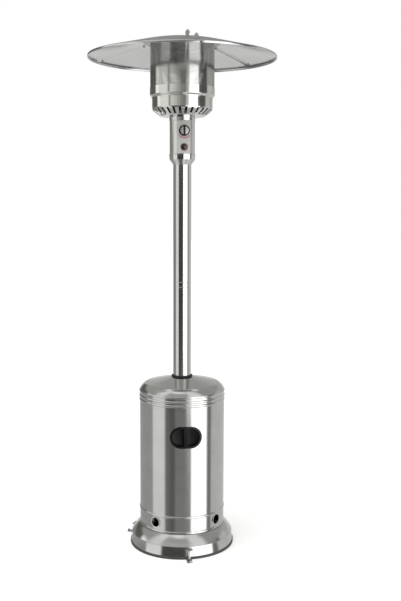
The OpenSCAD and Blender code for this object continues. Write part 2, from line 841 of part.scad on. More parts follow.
module control_knob() {
    color("darkslategray") at(front, knob_back, knob_z) rotate([0, 90, 0]) difference() {
        union() {
            cylinder(r = knob_r, h = knob_face - knob_bevel_h);
            translate([0, 0, knob_face - knob_bevel_h])
                cylinder(r1 = knob_r, r2 = knob_r - knob_ridge_in, h = knob_bevel_h);
            intersection() {
                translate([-knob_r, -knob_ridge_w / 2, 0]) cube([2 * knob_r, knob_ridge_w, knob_depth]);
                cylinder(r = knob_r - knob_ridge_in, h = knob_depth);
            }
        }
        for (side = [-1, 1])
            translate([0, 0, knob_face - inlay_deep]) lens(side, 0, inlay_deep + over);
        translate([0, 0, -over]) cylinder(r = stem_r + run_gap, h = over + stem_in_knob + lap_gap);
    }
}

// A round plate's part beside the ridge, drawn in by a gap
module lens(side, gap, h) {
    intersection() {
        cylinder(r = knob_r - knob_ridge_in - knob_rim - gap, h = h);
        mirror([0, side < 0 ? 1 : 0, 0])
            translate([-knob_r, knob_ridge_w / 2 + gap, 0]) cube([2 * knob_r, knob_r, h]);
    }
}

module knob_inlays() {
    color("silver") at(front, knob_back, knob_z) rotate([0, 90, 0])
        for (side = [-1, 1]) translate([0, 0, knob_face - inlay_deep]) lens(side, lap_gap, inlay_t);
}

// Igniter: body behind the plate, bezel in front and the push button in both
igniter_front = plate_out_r + bezel_proud;
button_back = igniter_front - bezel_proud;
button_bore_back = button_back - button_travel - 2 * fit_gap;

module igniter_body() {
    color("black") difference() {
        at(front, button_back - igniter_l, igniter_z) bar_x(igniter_r, igniter_l);
        at(front, button_bore_back, igniter_z) bar_x(button_r + fit_gap, igniter_l);
        at(front, button_back - button_tail_l - button_travel - 2 * fit_gap, igniter_z)
            bar_x(button_tail_r + fit_gap, igniter_l);
    }
}

module igniter_bezel() {
    color("black") difference() {
        at(front, plate_out_r + run_gap, igniter_z) bar_x(button_r + fit_gap + bezel_w, bezel_proud);
        at(front, plate_out_r - over, igniter_z) bar_x(button_r + fit_gap, bezel_proud + 2 * over);
    }
}

module igniter_button() {
    dome_z0 = igniter_front + button_proud - button_crown;
    sphere_r = (button_r * button_r + button_crown * button_crown) / (2 * button_crown);
    color("darkred") at(front, 0, igniter_z) {
        translate([button_back, 0, 0]) bar_x(button_r, dome_z0 - button_back);
        translate([dome_z0, 0, 0]) rotate([0, 90, 0]) rotate_extrude() intersection() {
            translate([0, button_crown - sphere_r]) circle(r = sphere_r);
            square([button_r, button_crown]);
        }
        translate([button_back - button_tail_l, 0, 0]) bar_x(button_tail_r, button_tail_l);
    }
}

// Switch that shuts the gas off if the heater tips over
module tilt_switch() {
    wall_y = sqrt(pow(plate_in_r - head_t, 2) - pow(tilt_w / 2, 2));
    color("black") at(rear, wall_y - lap_gap - tilt_d, plate_z0 + plate_stud_inset)
        translate([0, -tilt_w / 2, 0]) cube([tilt_d, tilt_w, tilt_h]);
}

// Burner bowl: flat floor, slotted taper and straight wall
bowl_outline = concat(
    [[bowl_hole_r, bowl_z], [bowl_floor_r, bowl_z]],
    [for (i = [0 : bowl_corner_steps])
        let (a = 45 + 45 * i / bowl_corner_steps)
        [bowl_r - bowl_corner_r * (1 - sin(a)), bowl_taper_z - bowl_corner_r * cos(a)]],
    [[bowl_r, bowl_top_z]]);

module burner_bowl() {
    slot_l = bowl_r - bowl_floor_r - slot_top_in;
    color("silver") difference() {
        rotate_extrude() polygon(sheet(bowl_outline, 0, bowl_t));
        for (i = [0 : slots - 1])
            at((i + 0.5) * 360 / slots, bowl_floor_r + slot_foot_in, bowl_z + slot_foot_in)
                translate([-over, -slot_w / 2, -slot_top_in / 3])
                    cube([slot_l + over, slot_w, bowl_taper_h - slot_foot_in - slot_top_in]);
        for (side = [0, 180])
            at(side, bowl_screw_ring, bowl_z - over) cylinder(r = bowl_screw_r + run_gap, h = 2 * over);
    }
}

module bowl_screws() {
    color("dimgray") for (side = [0, 180])
        at(side, bowl_screw_ring, 0) {
            translate([0, 0, control_z1 - bowl_flange_t - over])
                cylinder(r = bowl_screw_r, h = bowl_flange_t + over + fit_gap + bowl_t);
            translate([0, 0, bowl_z + bowl_t]) cylinder(r = bowl_screw_head_r, h = bowl_screw_head_h);
        }
}

module burner_plate() {
    color("gray") difference() {
        translate([0, 0, burner_plate_z])
            ring(bowl_r - bowl_t - lap_gap, burner_cup_r + lap_gap, burner_plate_t);
        for (k = [-1, 0, 1])
            at(probe_angle + k * probe_gap_angle, probe_ring, burner_plate_z - over)
                cylinder(r = (k == 0 ? pilot_r : probe_r) + run_gap, h = burner_plate_t + 2 * over);
    }
}

module mixing_tube() {
    color("gray") difference() {
        translate([0, 0, mixing_z0])
            ring(mixing_r, mixing_r - mixing_t, burner_plate_z - mixing_z0 - lap_gap);
        for (a = [0, 90])
            at(a, -2 * mixing_r, bowl_z + bowl_taper_h / 2) bar_x(air_hole_r, 4 * mixing_r);
    }
}

module gas_orifice() {
    color("goldenrod") difference() {
        union() {
            translate([0, 0, valve_z0 + valve_h + lap_gap]) cylinder(r = orifice_r, h = valve_out_h + orifice_h);
            translate([0, 0, valve_z0 + valve_h + valve_out_h + lap_gap]) hexagon(orifice_hex_r, orifice_h / 2);
        }
        translate([0, 0, valve_z0 + valve_h]) cylinder(r = orifice_r / 4, h = valve_out_h + orifice_h + over);
    }
}

// Burner cup: a pot turned upside down with a ring of ports
module burner_cup() {
    color("darkgray") difference() {
        translate([0, 0, burner_plate_z]) difference() {
            cylinder(r = burner_cup_r, h = burner_cup_h);
            translate([0, 0, burner_cup_t])
                cylinder(r = burner_cup_r - burner_cup_t, h = burner_cup_h - 2 * burner_cup_t);
            translate([0, 0, -over]) cylinder(r = mixing_r - mixing_t, h = 2 * over);
        }
        for (i = [0 : burner_ports - 1])
            at(i * 360 / burner_ports, burner_cup_r - 2 * burner_cup_t, burner_plate_z + burner_cup_h * 2 / 3)
                bar_x(burner_port_r, 4 * burner_cup_t);
    }
}

// A probe that stands on the burner plate and reaches up to the flame
module probe(k, r, up) {
    at(probe_angle + k * probe_gap_angle, probe_ring, burner_plate_z) {
        translate([0, 0, -probe_tail]) cylinder(r = r, h = probe_tail + up);
        translate([0, 0, burner_plate_t]) cylinder(r = r + probe_flange_r / 2, h = probe_flange_h);
    }
}

module pilot_burner() {
    color("goldenrod") probe(0, pilot_r, pilot_up);
}

module thermocouple() {
    color("peru") probe(-1, probe_r, probe_up);
}

module igniter_electrode() {
    color("white") probe(1, probe_r, probe_up);
}

// Collar band: steps in from the screen to the bowl
collar_outline = [
    [bowl_r + lap_gap + collar_t, collar_z0], [bowl_r + lap_gap + collar_t, collar_z0 + collar_step_h / 3],
    [collar_r, collar_z0 + collar_step_h], [collar_r, collar_z1]];

module collar_band() {
    color("whitesmoke") rotate_extrude() polygon(sheet(collar_outline, 0, collar_t));
}

module emitter_screen() {
    color("gray") translate([0, 0, screen_z0])
        ring(screen_r, screen_r - screen_t, screen_z1 - screen_z0);
}

module head_top_plate() {
    color("silver") difference() {
        union() {
            translate([0, 0, top_plate_z]) cylinder(r = top_plate_r, h = top_plate_t);
            translate([0, 0, top_plate_z - stud_tail])
                ring(screen_r - screen_t - lap_gap, screen_r - 2 * screen_t - lap_gap, stud_tail);
        }
        for (a = panel_mid_angles)
            at(a, stud_ring, top_plate_z - over) cylinder(r = stud_r + run_gap, h = top_plate_t + 2 * over);
    }
}

// Height of the reflector's upper face at a radius
rim_z = reflector_z - slope_share * (crown_r / 2 + reflector_r - crown_r);
function dome_z(r) = r > crown_r
    ? rim_z + slope_share * (reflector_r - r)
    : reflector_z - slope_share * r * r / (2 * crown_r);

dome_outline = concat(
    [[reflector_r, rim_z - rim_h]],
    [for (i = [0 : slope_steps]) let (r = reflector_r + (crown_r - reflector_r) * i / slope_steps) [r, dome_z(r)]],
    [for (i = [1 : crown_steps]) let (r = crown_r + (panel_hole_r - crown_r) * i / crown_steps) [r, dome_z(r)]]);

// A sector of the dome's sheet between two depths below its upper face
module dome_sector(from, to, angle) {
    rotate_extrude(angle = angle) polygon(sheet(dome_outline, from, to));
}

// A strip of the dome's sheet beside a seam that runs along +X
module dome_strip(from, to, w0, w1) {
    intersection() {
        rotate([0, 0, -panel_angle / 6]) dome_sector(from, to, panel_angle / 3);
        translate([0, w0, 0]) cube([reflector_r + over, w1 - w0, 2 * reflector_z]);
    }
}

module reflector_panel(mid) {
    color("silver") rotate([0, 0, mid]) difference() {
        union() {
            rotate([0, 0, -panel_angle / 2]) dome_sector(0, panel_t, panel_angle);
            rotate([0, 0, -panel_angle / 2]) {
                dome_strip(0, lap_drop + panel_t, 0, joggle_w);
                dome_strip(lap_drop, lap_drop + panel_t, -lap_w, joggle_w / 2);
            }
        }
        at(0, stud_ring, 0) cylinder(r = stud_r + run_gap, h = 2 * reflector_z);
        for (s = [-1, 1], r = [inner_screw_r, outer_screw_r])
            rotate([0, 0, s * panel_angle / 2]) translate([r, -lap_w / 2, 0])
                cylinder(r = seam_screw_r + run_gap, h = 2 * reflector_z);
    }
}

// Height of the dome over a seam screw, which stands half a lap beside the seam
function seam_z_at(r) = dome_z(norm([r, lap_w / 2]));

module at_seams() {
    for (mid = panel_mid_angles, r = [inner_screw_r, outer_screw_r])
        rotate([0, 0, mid + panel_angle / 2]) translate([r, -lap_w / 2, seam_z_at(r)]) children();
}

seam_sink = lap_drop + panel_t + slope_share * seam_head_r + lap_gap;

module seam_screws() {
    color("dimgray") at_seams() {
        translate([0, 0, -seam_sink]) cylinder(r = seam_screw_r, h = seam_sink + seam_nut_reach);
        translate([0, 0, -seam_sink - seam_head_h]) cylinder(r = seam_head_r, h = seam_head_h);
    }
}

module seam_wing_nuts() {
    color("lightgray") at_seams()
        translate([0, 0, slope_share * wing_nut_hub_r + lap_gap]) rotate([0, 0, wing_nut_turn]) difference() {
            wings(wing_nut_hub_r, wing_nut_hub_h, wing_nut_span, wing_nut_h, wing_nut_t);
            translate([0, 0, -over]) cylinder(r = seam_screw_r + run_gap, h = wing_nut_h + 2 * over);
        }
}

stud_top_z = dome_z(stud_ring) + stud_nut_h + 2 * lap_gap;

module reflector_studs() {
    color("dimgray") for (a = panel_mid_angles)
        at(a, stud_ring, 0) {
            translate([0, 0, top_plate_z - stud_tail]) cylinder(r = stud_r, h = stud_top_z - top_plate_z + stud_tail);
            translate([0, 0, top_plate_z - stud_nut_h - lap_gap]) hexagon(stud_nut_r, stud_nut_h);
        }
}

module stud_spacers() {
    spacer_h = dome_z(stud_ring + spacer_r) - panel_t - lap_gap - top_plate_z - top_plate_t;
    color("gray") for (a = panel_mid_angles)
        at(a, stud_ring, top_plate_z + top_plate_t) ring(spacer_r, stud_r + run_gap, spacer_h);
}

module stud_nuts() {
    color("lightgray") for (a = panel_mid_angles)
        at(a, stud_ring, dome_z(stud_ring - stud_nut_r) + lap_gap) difference() {
            hexagon(stud_nut_r, stud_nut_h - slope_share * stud_nut_r);
            translate([0, 0, -over]) cylinder(r = stud_r + run_gap, h = stud_nut_h + 2 * over);
        }
}

// Housing shell: a tube with rolled beads, four vents and the handle's opening
module housing_shell() {
    color("silver") difference() {
        rotate_extrude() difference() {
            union() {
                translate([housing_r - housing_t, shell_z0]) square([housing_t, seam_z - lap_gap - shell_z0]);
                bead_2d(housing_r, shell_z0 + bottom_bead_w / 2, bottom_bead_w, bottom_bead_proud);
                bead_2d(housing_r, deck_z + low_bead_up, bead_w, bead_proud);
                for (d = top_bead_steps) bead_2d(housing_r, seam_z - d, bead_w, bead_proud);
            }
            translate([0, deck_z]) square([housing_r - housing_t, shell_h + over]);
        }
        for (a = vent_angles)
            at(a, housing_r - 4 * vent_rim_w, deck_z + vent_up) bar_x(vent_r + vent_rim_w / 2, 8 * vent_rim_w);
        at(handle_angle, housing_r - handle_rim * 3, handle_z)
            oval_x((handle_w - handle_rim) / 2, (handle_h - handle_rim) / 2, handle_rim * 6);
        rivet_holes();
    }
}

// An upright oval block along +X, with round ends like a stretched circle
module oval_x(half_w, half_h, l) {
    rotate([0, 90, 0]) rotate([0, 0, 90]) linear_extrude(l) union() {
        translate([half_h - half_w, -half_h]) square([2 * (half_w - half_h), 2 * half_h]);
        for (s = [-1, 1]) translate([s * (half_w - half_h), 0]) circle(r = half_h);
    }
}

// Cover: lip inside the shell, rounded shoulder and a shallow cone up to the pole
cover_outline = concat(
    bend(housing_r, seam_z + lap_gap, shoulder_in_r, cover_z,
        shoulder_from, shoulder_to, shoulder_curve_steps),
    [[cover_hole_r, cone_z]]);

module housing_top() {
    lip_r = housing_r - housing_t - lap_gap;
    color("silver") difference() {
        union() {
            rotate_extrude() intersection() {
                polygon(sheet(cover_outline, 0, housing_t));
                translate([0, seam_z + lap_gap]) square([housing_r, cone_z - seam_z + over]);
            }
            translate([0, 0, seam_z - cover_lip]) ring(lip_r, lip_r - housing_t, cover_lip + housing_t);
            translate([0, 0, seam_z + lap_gap]) ring(housing_r - housing_t / 4, lip_r - housing_t, housing_t);
        }
        rivet_holes();
    }
}

module rivet_holes() {
    for (a = rivet_angles)
        at(a, housing_r - 4 * housing_t, seam_z - cover_lip / 2)
            bar_x(rivet_r + run_gap, 8 * housing_t);
}

module housing_rivets() {
    color("lightgray") for (a = rivet_angles)
        at(a, housing_r - 2 * housing_t - 2 * lap_gap, seam_z - cover_lip / 2) {
            bar_x(rivet_r, 2 * housing_t + 2 * lap_gap + bead_proud + rivet_proud / 2);
            translate([-rivet_proud, 0, 0]) bar_x(rivet_r + rivet_proud, rivet_proud);
        }
}

module pole_grommet() {
    color("black") translate([0, 0, cone_z]) rotate_extrude() difference() {
        union() {
            translate([grommet_in_r, -grommet_flange * 2 - housing_t])
                square([grommet_wall / 2 - fit_gap, grommet_h + grommet_flange * 2 + housing_t]);
            translate([grommet_in_r, lap_gap * 4])
                square([grommet_wall + grommet_flange, grommet_h - lap_gap * 4]);
            translate([grommet_in_r, -grommet_flange * 2 - housing_t * 2])
                square([grommet_wall + grommet_flange, grommet_flange]);
        }
        translate([grommet_in_r + grommet_wall + grommet_flange, grommet_h]) circle(r = grommet_flange);
    }
}

// Handle: an oval plastic cup with a flange, and a rib that parts its two finger pockets
module handle_cup() {
    back = housing_r - pocket_depth - handle_wall;
    neck_in = handle_rim / 2 + lap_gap;
    z0 = handle_z - handle_h;
    color("black") difference() {
        intersection() {
            translate([0, 0, z0]) cylinder(r = housing_r + handle_proud, h = 2 * handle_h);
            union() {
                difference() {
                    at(handle_angle, back, handle_z) oval_x(handle_w / 2, handle_h / 2, housing_r);
                    translate([0, 0, z0 - over]) cylinder(r = housing_r + lap_gap, h = 2 * (handle_h + over));
                }
                at(handle_angle, back, handle_z)
                    oval_x(handle_w / 2 - neck_in, handle_h / 2 - neck_in, housing_r);
            }
        }
        for (s = [-1, 1]) at(handle_angle, back + handle_wall, handle_z) intersection() {
            oval_x(handle_w / 2 - handle_rim, handle_h / 2 - handle_rim, housing_r);
            translate([0, s > 0 ? grip_w / 2 : -handle_w, -handle_h])
                cube([housing_r, handle_w - grip_w / 2, 2 * handle_h]);
        }
    }
}

// Bright rings pressed into the vents
module vent_rims() {
    color("whitesmoke") for (a = vent_angles)
        at(a, 0, deck_z + vent_up) difference() {
            union() {
                translate([housing_r - vent_rim_deep, 0, 0])
                    bar_x(vent_r + vent_rim_w / 2 - lap_gap, vent_rim_deep + vent_rim_proud);
                translate([housing_r + lap_gap, 0, 0]) bar_x(vent_r + vent_rim_w, vent_rim_proud - lap_gap);
            }
            translate([housing_r - 4 * vent_rim_w, 0, 0]) bar_x(vent_r - vent_rim_w / 3, 6 * vent_rim_w);
        }
}

base_pan();
base_edge_trim();
anchor_brackets();
anchor_wing_screws();
for (i = [0 : len(leg_angles) - 1])
    leg(leg_angles[i]);
leg_foot_bolts();
leg_top_bolts();
pole_socket();
socket_clamp_screw();
lower_pole();
upper_pole();
pole_coupler();
pole_screws();
neck_cone();
neck_screws();
control_housing();
control_plate();
plate_studs();
gas_valve();
valve_bracket();
gas_inlet_fitting();
valve_plug();
valve_stem();
control_knob();
knob_inlays();
igniter_body();
igniter_bezel();
igniter_button();
tilt_switch();
burner_bowl();
bowl_screws();
burner_plate();
mixing_tube();
gas_orifice();
burner_cup();
pilot_burner();
thermocouple();
igniter_electrode();
collar_band();
emitter_screen();
head_top_plate();
reflector_studs();
stud_spacers();
stud_nuts();
for (i = [0 : panels - 1])
    reflector_panel(panel_mid_angles[i]);
seam_screws();
seam_wing_nuts();
housing_shell();
housing_top();
pole_grommet();
handle_cup();
vent_rims();
housing_rivets();
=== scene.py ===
"""Looks of a mushroom patio heater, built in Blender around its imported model.

Every piece is in metres in the model's own frame: +Z up, the front at -Y and the
origin on the floor at the middle of the base. Sizes below are in millimetres, as in
the part's source, and MM turns them to metres.
"""

import json
import logging
import math
from collections.abc import Callable, Sequence
from dataclasses import dataclass, field
from enum import Enum

import bmesh
import bpy
from mathutils import Matrix, Vector

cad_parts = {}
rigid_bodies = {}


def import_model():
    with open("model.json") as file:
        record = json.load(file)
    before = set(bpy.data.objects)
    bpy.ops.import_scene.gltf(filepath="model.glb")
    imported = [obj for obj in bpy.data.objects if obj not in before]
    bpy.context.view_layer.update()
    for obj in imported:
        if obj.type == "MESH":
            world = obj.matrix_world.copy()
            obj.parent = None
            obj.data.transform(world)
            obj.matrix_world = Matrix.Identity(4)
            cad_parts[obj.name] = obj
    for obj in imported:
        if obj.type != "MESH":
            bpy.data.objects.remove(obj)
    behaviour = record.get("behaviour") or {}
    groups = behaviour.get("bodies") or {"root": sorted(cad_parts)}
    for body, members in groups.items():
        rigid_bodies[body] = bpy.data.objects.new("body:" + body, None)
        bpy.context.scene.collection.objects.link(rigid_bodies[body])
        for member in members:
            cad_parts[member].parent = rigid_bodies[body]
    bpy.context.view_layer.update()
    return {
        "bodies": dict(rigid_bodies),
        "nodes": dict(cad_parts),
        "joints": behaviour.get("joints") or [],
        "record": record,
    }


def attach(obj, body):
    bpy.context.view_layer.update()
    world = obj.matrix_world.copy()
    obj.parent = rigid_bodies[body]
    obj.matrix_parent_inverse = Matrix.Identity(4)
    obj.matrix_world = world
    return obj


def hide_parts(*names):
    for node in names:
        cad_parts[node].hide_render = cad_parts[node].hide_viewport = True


LOG = logging.getLogger("patio_heater")
MM = 0.001
FULL_TURN = 2 * math.pi
WHITE = "#ffffff"

# Nearly all of a noise texture's values lie between these two
NOISE_DARK, NOISE_BRIGHT = 0.3, 0.7
# How often a metal's fine lines change along one radian of a ring
CHANGES_PER_RADIAN = 5.0
# How far a metal's fine lines go towards its dark colour
LINE_SHARE = 0.16
# How much rougher a metal is where its clouds are thickest
CLOUD_ROUGHENING = 1.18
# The size of the changes of tone on a moulded piece, and how far they go to its pale colour
TONE_MM, TONE_SHARE = 24.0, 0.6
# How far the grain swings a moulded piece's roughness up and down
GLOSS_SWING = 0.15
# Steps round the axis of the large pressings
PRESSING_STEPS = 192
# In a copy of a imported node, closer points are welded and flatter edges dissolved
WELD_MM, FLAT_DEGREES = 0.002, 0.6

Profile = list[tuple[float, float]]


class Body(Enum):
    """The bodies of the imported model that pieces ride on."""

    STAND = "stand"
    HOUSING = "housing"
    KNOB = "knob"
    BUTTON = "button"


class Grain(Enum):
    """The way in which a metal's fine lines run."""

    ROUND_THE_AXIS = "round the axis"
    ALL_WAYS = "all ways"


def linear(colour: str) -> tuple[float, float, float, float]:
    """Turn an sRGB hex colour into linear light.

    Args:
        colour: Six hex digits after a hash.

    Returns:
        Red, green, blue and alpha, each from 0 to 1.
    """
    channels = []
    for start in (1, 3, 5):
        value = int(colour[start:start + 2], 16) / 255
        low = value / 12.92
        high = ((value + 0.055) / 1.055) ** 2.4
        channels.append(low if value <= 0.04045 else high)
    return channels[0], channels[1], channels[2], 1.0


def add_node(tree: bpy.types.NodeTree, kind: str, inputs: dict | None = None,
             **settings: object) -> bpy.types.Node:
    """Add a node to a tree with its settings, values and links.

    Args:
        tree: The tree that gets the node.
        kind: The node's type name.
        inputs: A value or an output socket for each named or numbered input.
        **settings: The node's own properties.

    Returns:
        The new node.
    """
    node = tree.nodes.new(kind)
    for name, value in settings.items():
        setattr(node, name, value)
    for key, value in (inputs or {}).items():
        if isinstance(value, bpy.types.NodeSocket):
            tree.links.new(value, node.inputs[key])
        else:
            node.inputs[key].default_value = value
    return node


def new_material(name: str) -> tuple[bpy.types.Material, bpy.types.NodeTree]:
    """Make an empty node material.

    Args:
        name: The name of the real finish.

    Returns:
        The material and its node tree.
    """
    material = bpy.data.materials.new(name)
    material.use_nodes = True
    material.node_tree.nodes.clear()
    return material, material.node_tree


def close_material(tree: bpy.types.NodeTree, shader: bpy.types.Node) -> None:
    """Link a shader to the material's output.

    Args:
        tree: The material's node tree.
        shader: The node that holds the finished surface.
    """
    add_node(tree, "ShaderNodeOutputMaterial", {"Surface": shader.outputs[0]})


def round_the_axis(tree: bpy.types.NodeTree, pitch_mm: float) -> bpy.types.NodeSocket:
    """Give coordinates that change fast across the axis's rings and slowly along them.

    Args:
        tree: The material's node tree.
        pitch_mm: The distance between two lines.

    Returns:
        A vector socket for a noise of scale 1.
    """
    place = add_node(tree, "ShaderNodeTexCoord")
    parts = add_node(tree, "ShaderNodeSeparateXYZ", {0: place.outputs["Object"]})
    turn = add_node(tree, "ShaderNodeMath", {0: parts.outputs["Y"], 1: parts.outputs["X"]},
                    operation="ARCTAN2")
    flat = add_node(tree, "ShaderNodeCombineXYZ",
                    {"X": parts.outputs["X"], "Y": parts.outputs["Y"]})
    reach = add_node(tree, "ShaderNodeVectorMath", {0: flat.outputs[0]}, operation="LENGTH")
    lines = 1 / (pitch_mm * MM)
    rings = add_node(tree, "ShaderNodeCombineXYZ", {
        "X": turn.outputs[0], "Y": reach.outputs["Value"], "Z": parts.outputs["Z"]})
    scaled = add_node(tree, "ShaderNodeVectorMath",
                      {0: rings.outputs[0], 1: (CHANGES_PER_RADIAN, lines, lines)},
                      operation="MULTIPLY")
    return scaled.outputs[0]


def all_ways(tree: bpy.types.NodeTree, pitch_mm: float) -> bpy.types.NodeSocket:
    """Give plain object coordinates at a scale in millimetres.

    Args:
        tree: The material's node tree.
        pitch_mm: The size of one grain.

    Returns:
        A vector socket for a noise of scale 1.
    """
    place = add_node(tree, "ShaderNodeTexCoord")
    size = 1 / (pitch_mm * MM)
    scaled = add_node(tree, "ShaderNodeVectorMath",
                      {0: place.outputs["Object"], 1: (size, size, size)}, operation="MULTIPLY")
    return scaled.outputs[0]


def spread(tree: bpy.types.NodeTree, value: bpy.types.NodeSocket, low: float,
           high: float) -> bpy.types.NodeSocket:
    """Map a noise's usual range to another one.

    Args:
        tree: The material's node tree.
        value: The noise.
        low: The result at the noise's dark end.
        high: The result at its bright end.

    Returns:
        The mapped value.
    """
    node = add_node(tree, "ShaderNodeMapRange", {
        "Value": value, "From Min": NOISE_DARK, "From Max": NOISE_BRIGHT,
        "To Min": low, "To Max": high})
    return node.outputs["Result"]


@dataclass(frozen=True)
class Metal:
    """A bare metal with fine lines or grain, and clouds left by handling and heat."""

    name: str
    colour: str
    dark_colour: str
    roughness: float
    roughness_step: float
    grain: Grain = Grain.ROUND_THE_AXIS
    grain_mm: float = 1.2
    grain_depth_mm: float = 0.004
    cloud_mm: float = 90.0
    cloud_share: float = 0.35
    anisotropy: float = 0.0
    bump: float = 0.5

    def material(self) -> bpy.types.Material:
        """Build the metal's material.

        Returns:
            The material.
        """
        made, tree = new_material(self.name)
        rings = self.grain is Grain.ROUND_THE_AXIS
        coordinates = round_the_axis if rings else all_ways
        lines = add_node(tree, "ShaderNodeTexNoise", {
            "Vector": coordinates(tree, self.grain_mm), "Scale": 1.0, "Detail": 3.0,
            "Roughness": 0.6})
        clouds = add_node(tree, "ShaderNodeTexNoise", {
            "Vector": all_ways(tree, self.cloud_mm), "Scale": 1.0, "Detail": 4.0,
            "Roughness": 0.55})
        tint = add_node(tree, "ShaderNodeMix", {
            "Factor": spread(tree, clouds.outputs[0], 0.0, self.cloud_share),
            "A": linear(self.colour), "B": linear(self.dark_colour)}, data_type="RGBA")
        streaks = add_node(tree, "ShaderNodeMix", {
            "Factor": spread(tree, lines.outputs[0], 0.0, LINE_SHARE),
            "A": tint.outputs[2], "B": linear(self.dark_colour)}, data_type="RGBA")
        rough = add_node(tree, "ShaderNodeMath", {
            0: spread(tree, lines.outputs[0], -self.roughness_step, self.roughness_step),
            1: spread(tree, clouds.outputs[0], self.roughness,
                      self.roughness * CLOUD_ROUGHENING)},
            operation="ADD")
        bump = add_node(tree, "ShaderNodeBump", {
            "Strength": self.bump, "Distance": self.grain_depth_mm * MM,
            "Height": lines.outputs[0]})
        surface = add_node(tree, "ShaderNodeBsdfPrincipled", {
            "Base Color": streaks.outputs[2], "Metallic": 1.0, "Roughness": rough.outputs[0],
            "Normal": bump.outputs[0], "Anisotropic": self.anisotropy,
            "Anisotropic Rotation": 0.25})
        if self.anisotropy:
            tangent = add_node(tree, "ShaderNodeTangent", direction_type="RADIAL", axis="Z")
            tree.links.new(tangent.outputs[0], surface.inputs["Tangent"])
        close_material(tree, surface)
        return made


@dataclass(frozen=True)
class Moulded:
    """A plastic, rubber, lacquer or glaze with a fine grain and small changes of tone."""

    name: str
    colour: str
    pale_colour: str
    roughness: float
    grain_mm: float = 0.8
    grain_depth_mm: float = 0.02
    ior: float = 1.5
    coat: float = 0.0
    coat_roughness: float = 0.06
    bump: float = 0.4

    def material(self) -> bpy.types.Material:
        """Build the moulded finish's material.

        Returns:
            The material.
        """
        made, tree = new_material(self.name)
        grain = add_node(tree, "ShaderNodeTexNoise", {
            "Vector": all_ways(tree, self.grain_mm), "Scale": 1.0, "Detail": 2.0})
        tone = add_node(tree, "ShaderNodeTexNoise", {
            "Vector": all_ways(tree, TONE_MM), "Scale": 1.0, "Detail": 3.0})
        colour = add_node(tree, "ShaderNodeMix", {
            "Factor": spread(tree, tone.outputs[0], 0.0, TONE_SHARE),
            "A": linear(self.colour), "B": linear(self.pale_colour)}, data_type="RGBA")
        bump = add_node(tree, "ShaderNodeBump", {
            "Strength": self.bump, "Distance": self.grain_depth_mm * MM,
            "Height": grain.outputs[0]})
        surface = add_node(tree, "ShaderNodeBsdfPrincipled", {
            "Base Color": colour.outputs[2], "Metallic": 0.0, "IOR": self.ior,
            "Roughness": spread(tree, grain.outputs[0], self.roughness * (1 - GLOSS_SWING),
                                self.roughness * (1 + GLOSS_SWING)),
            "Normal": bump.outputs[0], "Coat Weight": self.coat,
            "Coat Roughness": self.coat_roughness})
        close_material(tree, surface)
        return made


# Cold-rolled stainless sheet, brushed round the part: bands of light with a soft edge
BRUSHED_STAINLESS = Metal("brushed stainless steel", "#d5d5d4", "#bababa", 0.14, 0.02,
                          anisotropy=0.55, grain_mm=1.1)
# The same sheet on the pole and the control housing, drawn and so a little smoother
DRAWN_STAINLESS = Metal("drawn stainless steel", "#d5d5d3", "#bdbdbb", 0.12, 0.015,
                        anisotropy=0.45, grain_mm=0.9, cloud_mm=160.0)
# Buffed stainless: nearly a mirror, with a few fine lines left
BUFFED_STAINLESS = Metal("buffed stainless steel", "#dadad8", "#c3c3c1", 0.06, 0.012,
                         grain_mm=0.7, grain_depth_mm=0.002, cloud_share=0.2)
# Punched stainless that the flame has heated: duller, with straw-coloured clouds
HEATED_STAINLESS = Metal("punched stainless steel, heat-tinted", "#c8c8c6", "#aeaba6", 0.12,
                         0.012, grain_mm=1.4, grain_depth_mm=0.001, cloud_mm=150.0,
                         cloud_share=0.25)
# Mill-finish aluminium sheet: pale, soft reflections and long rolling lines
MILL_ALUMINIUM = Metal("mill-finish aluminium", "#dadbdb", "#c4c5c5", 0.17, 0.02,
                       grain_mm=1.6, cloud_mm=140.0, cloud_share=0.4)
# The reflector's faces that look up: the same aluminium left coarser, its darker colour painted
# shade
SHADED_TOP_ALUMINIUM = Metal("satin aluminium, darkened_as_painted_shade", "#b0b2b2", "#989a9a", 0.36, 0.04,
                          grain_mm=2.2, cloud_mm=110.0, cloud_share=0.7)
# Bright zinc on pressed and turned steel: cool grey with fine mottling
ZINC_PLATE = Metal("zinc-plated steel", "#b4b6b6", "#939595", 0.27, 0.05,
                   grain=Grain.ALL_WAYS, grain_mm=2.5, cloud_mm=12.0, cloud_share=0.6)
# Steel inside the burner, oxidised brown-black by the flame
SCALED_STEEL = Metal("heat-scaled steel", "#6a625a", "#38332f", 0.48, 0.08,
                     grain=Grain.ALL_WAYS, grain_mm=3.0, cloud_mm=18.0, cloud_share=0.9)
# Turned brass of the gas fittings, a little tarnished
TURNED_BRASS = Metal("turned brass", "#d8b26a", "#9c7a3e", 0.22, 0.04,
                     grain=Grain.ALL_WAYS, grain_mm=1.5, cloud_mm=10.0, cloud_share=0.5)
# Polypropylene handle cup: black with a spark-eroded grain that greys its light side
GRAINED_PLASTIC = Moulded("black polypropylene, grained", "#070708", "#0e0e10", 0.36,
                          grain_mm=0.9, grain_depth_mm=0.04, ior=1.38)
# ABS of the knob and the bezel: black with a satin gloss
GLOSSY_PLASTIC = Moulded("black ABS, satin", "#050506", "#0b0b0c", 0.24,
                         grain_mm=3.0, grain_depth_mm=0.01, ior=1.4)
# Push button moulded in a red-black plastic: glossy, dark in the middle
BUTTON_PLASTIC = Moulded("dark red ABS, glossy", "#2a0508", "#4a0f13", 0.1,
                         grain_mm=3.0, grain_depth_mm=0.008, coat=0.5)
# The base's edge trim: a softer dark grey than the grommet, scuffed by the floor
SCUFFED_TRIM = Moulded("scuffed grey-black trim", "#454543", "#555553", 0.55,
                       grain_mm=1.5, grain_depth_mm=0.03)
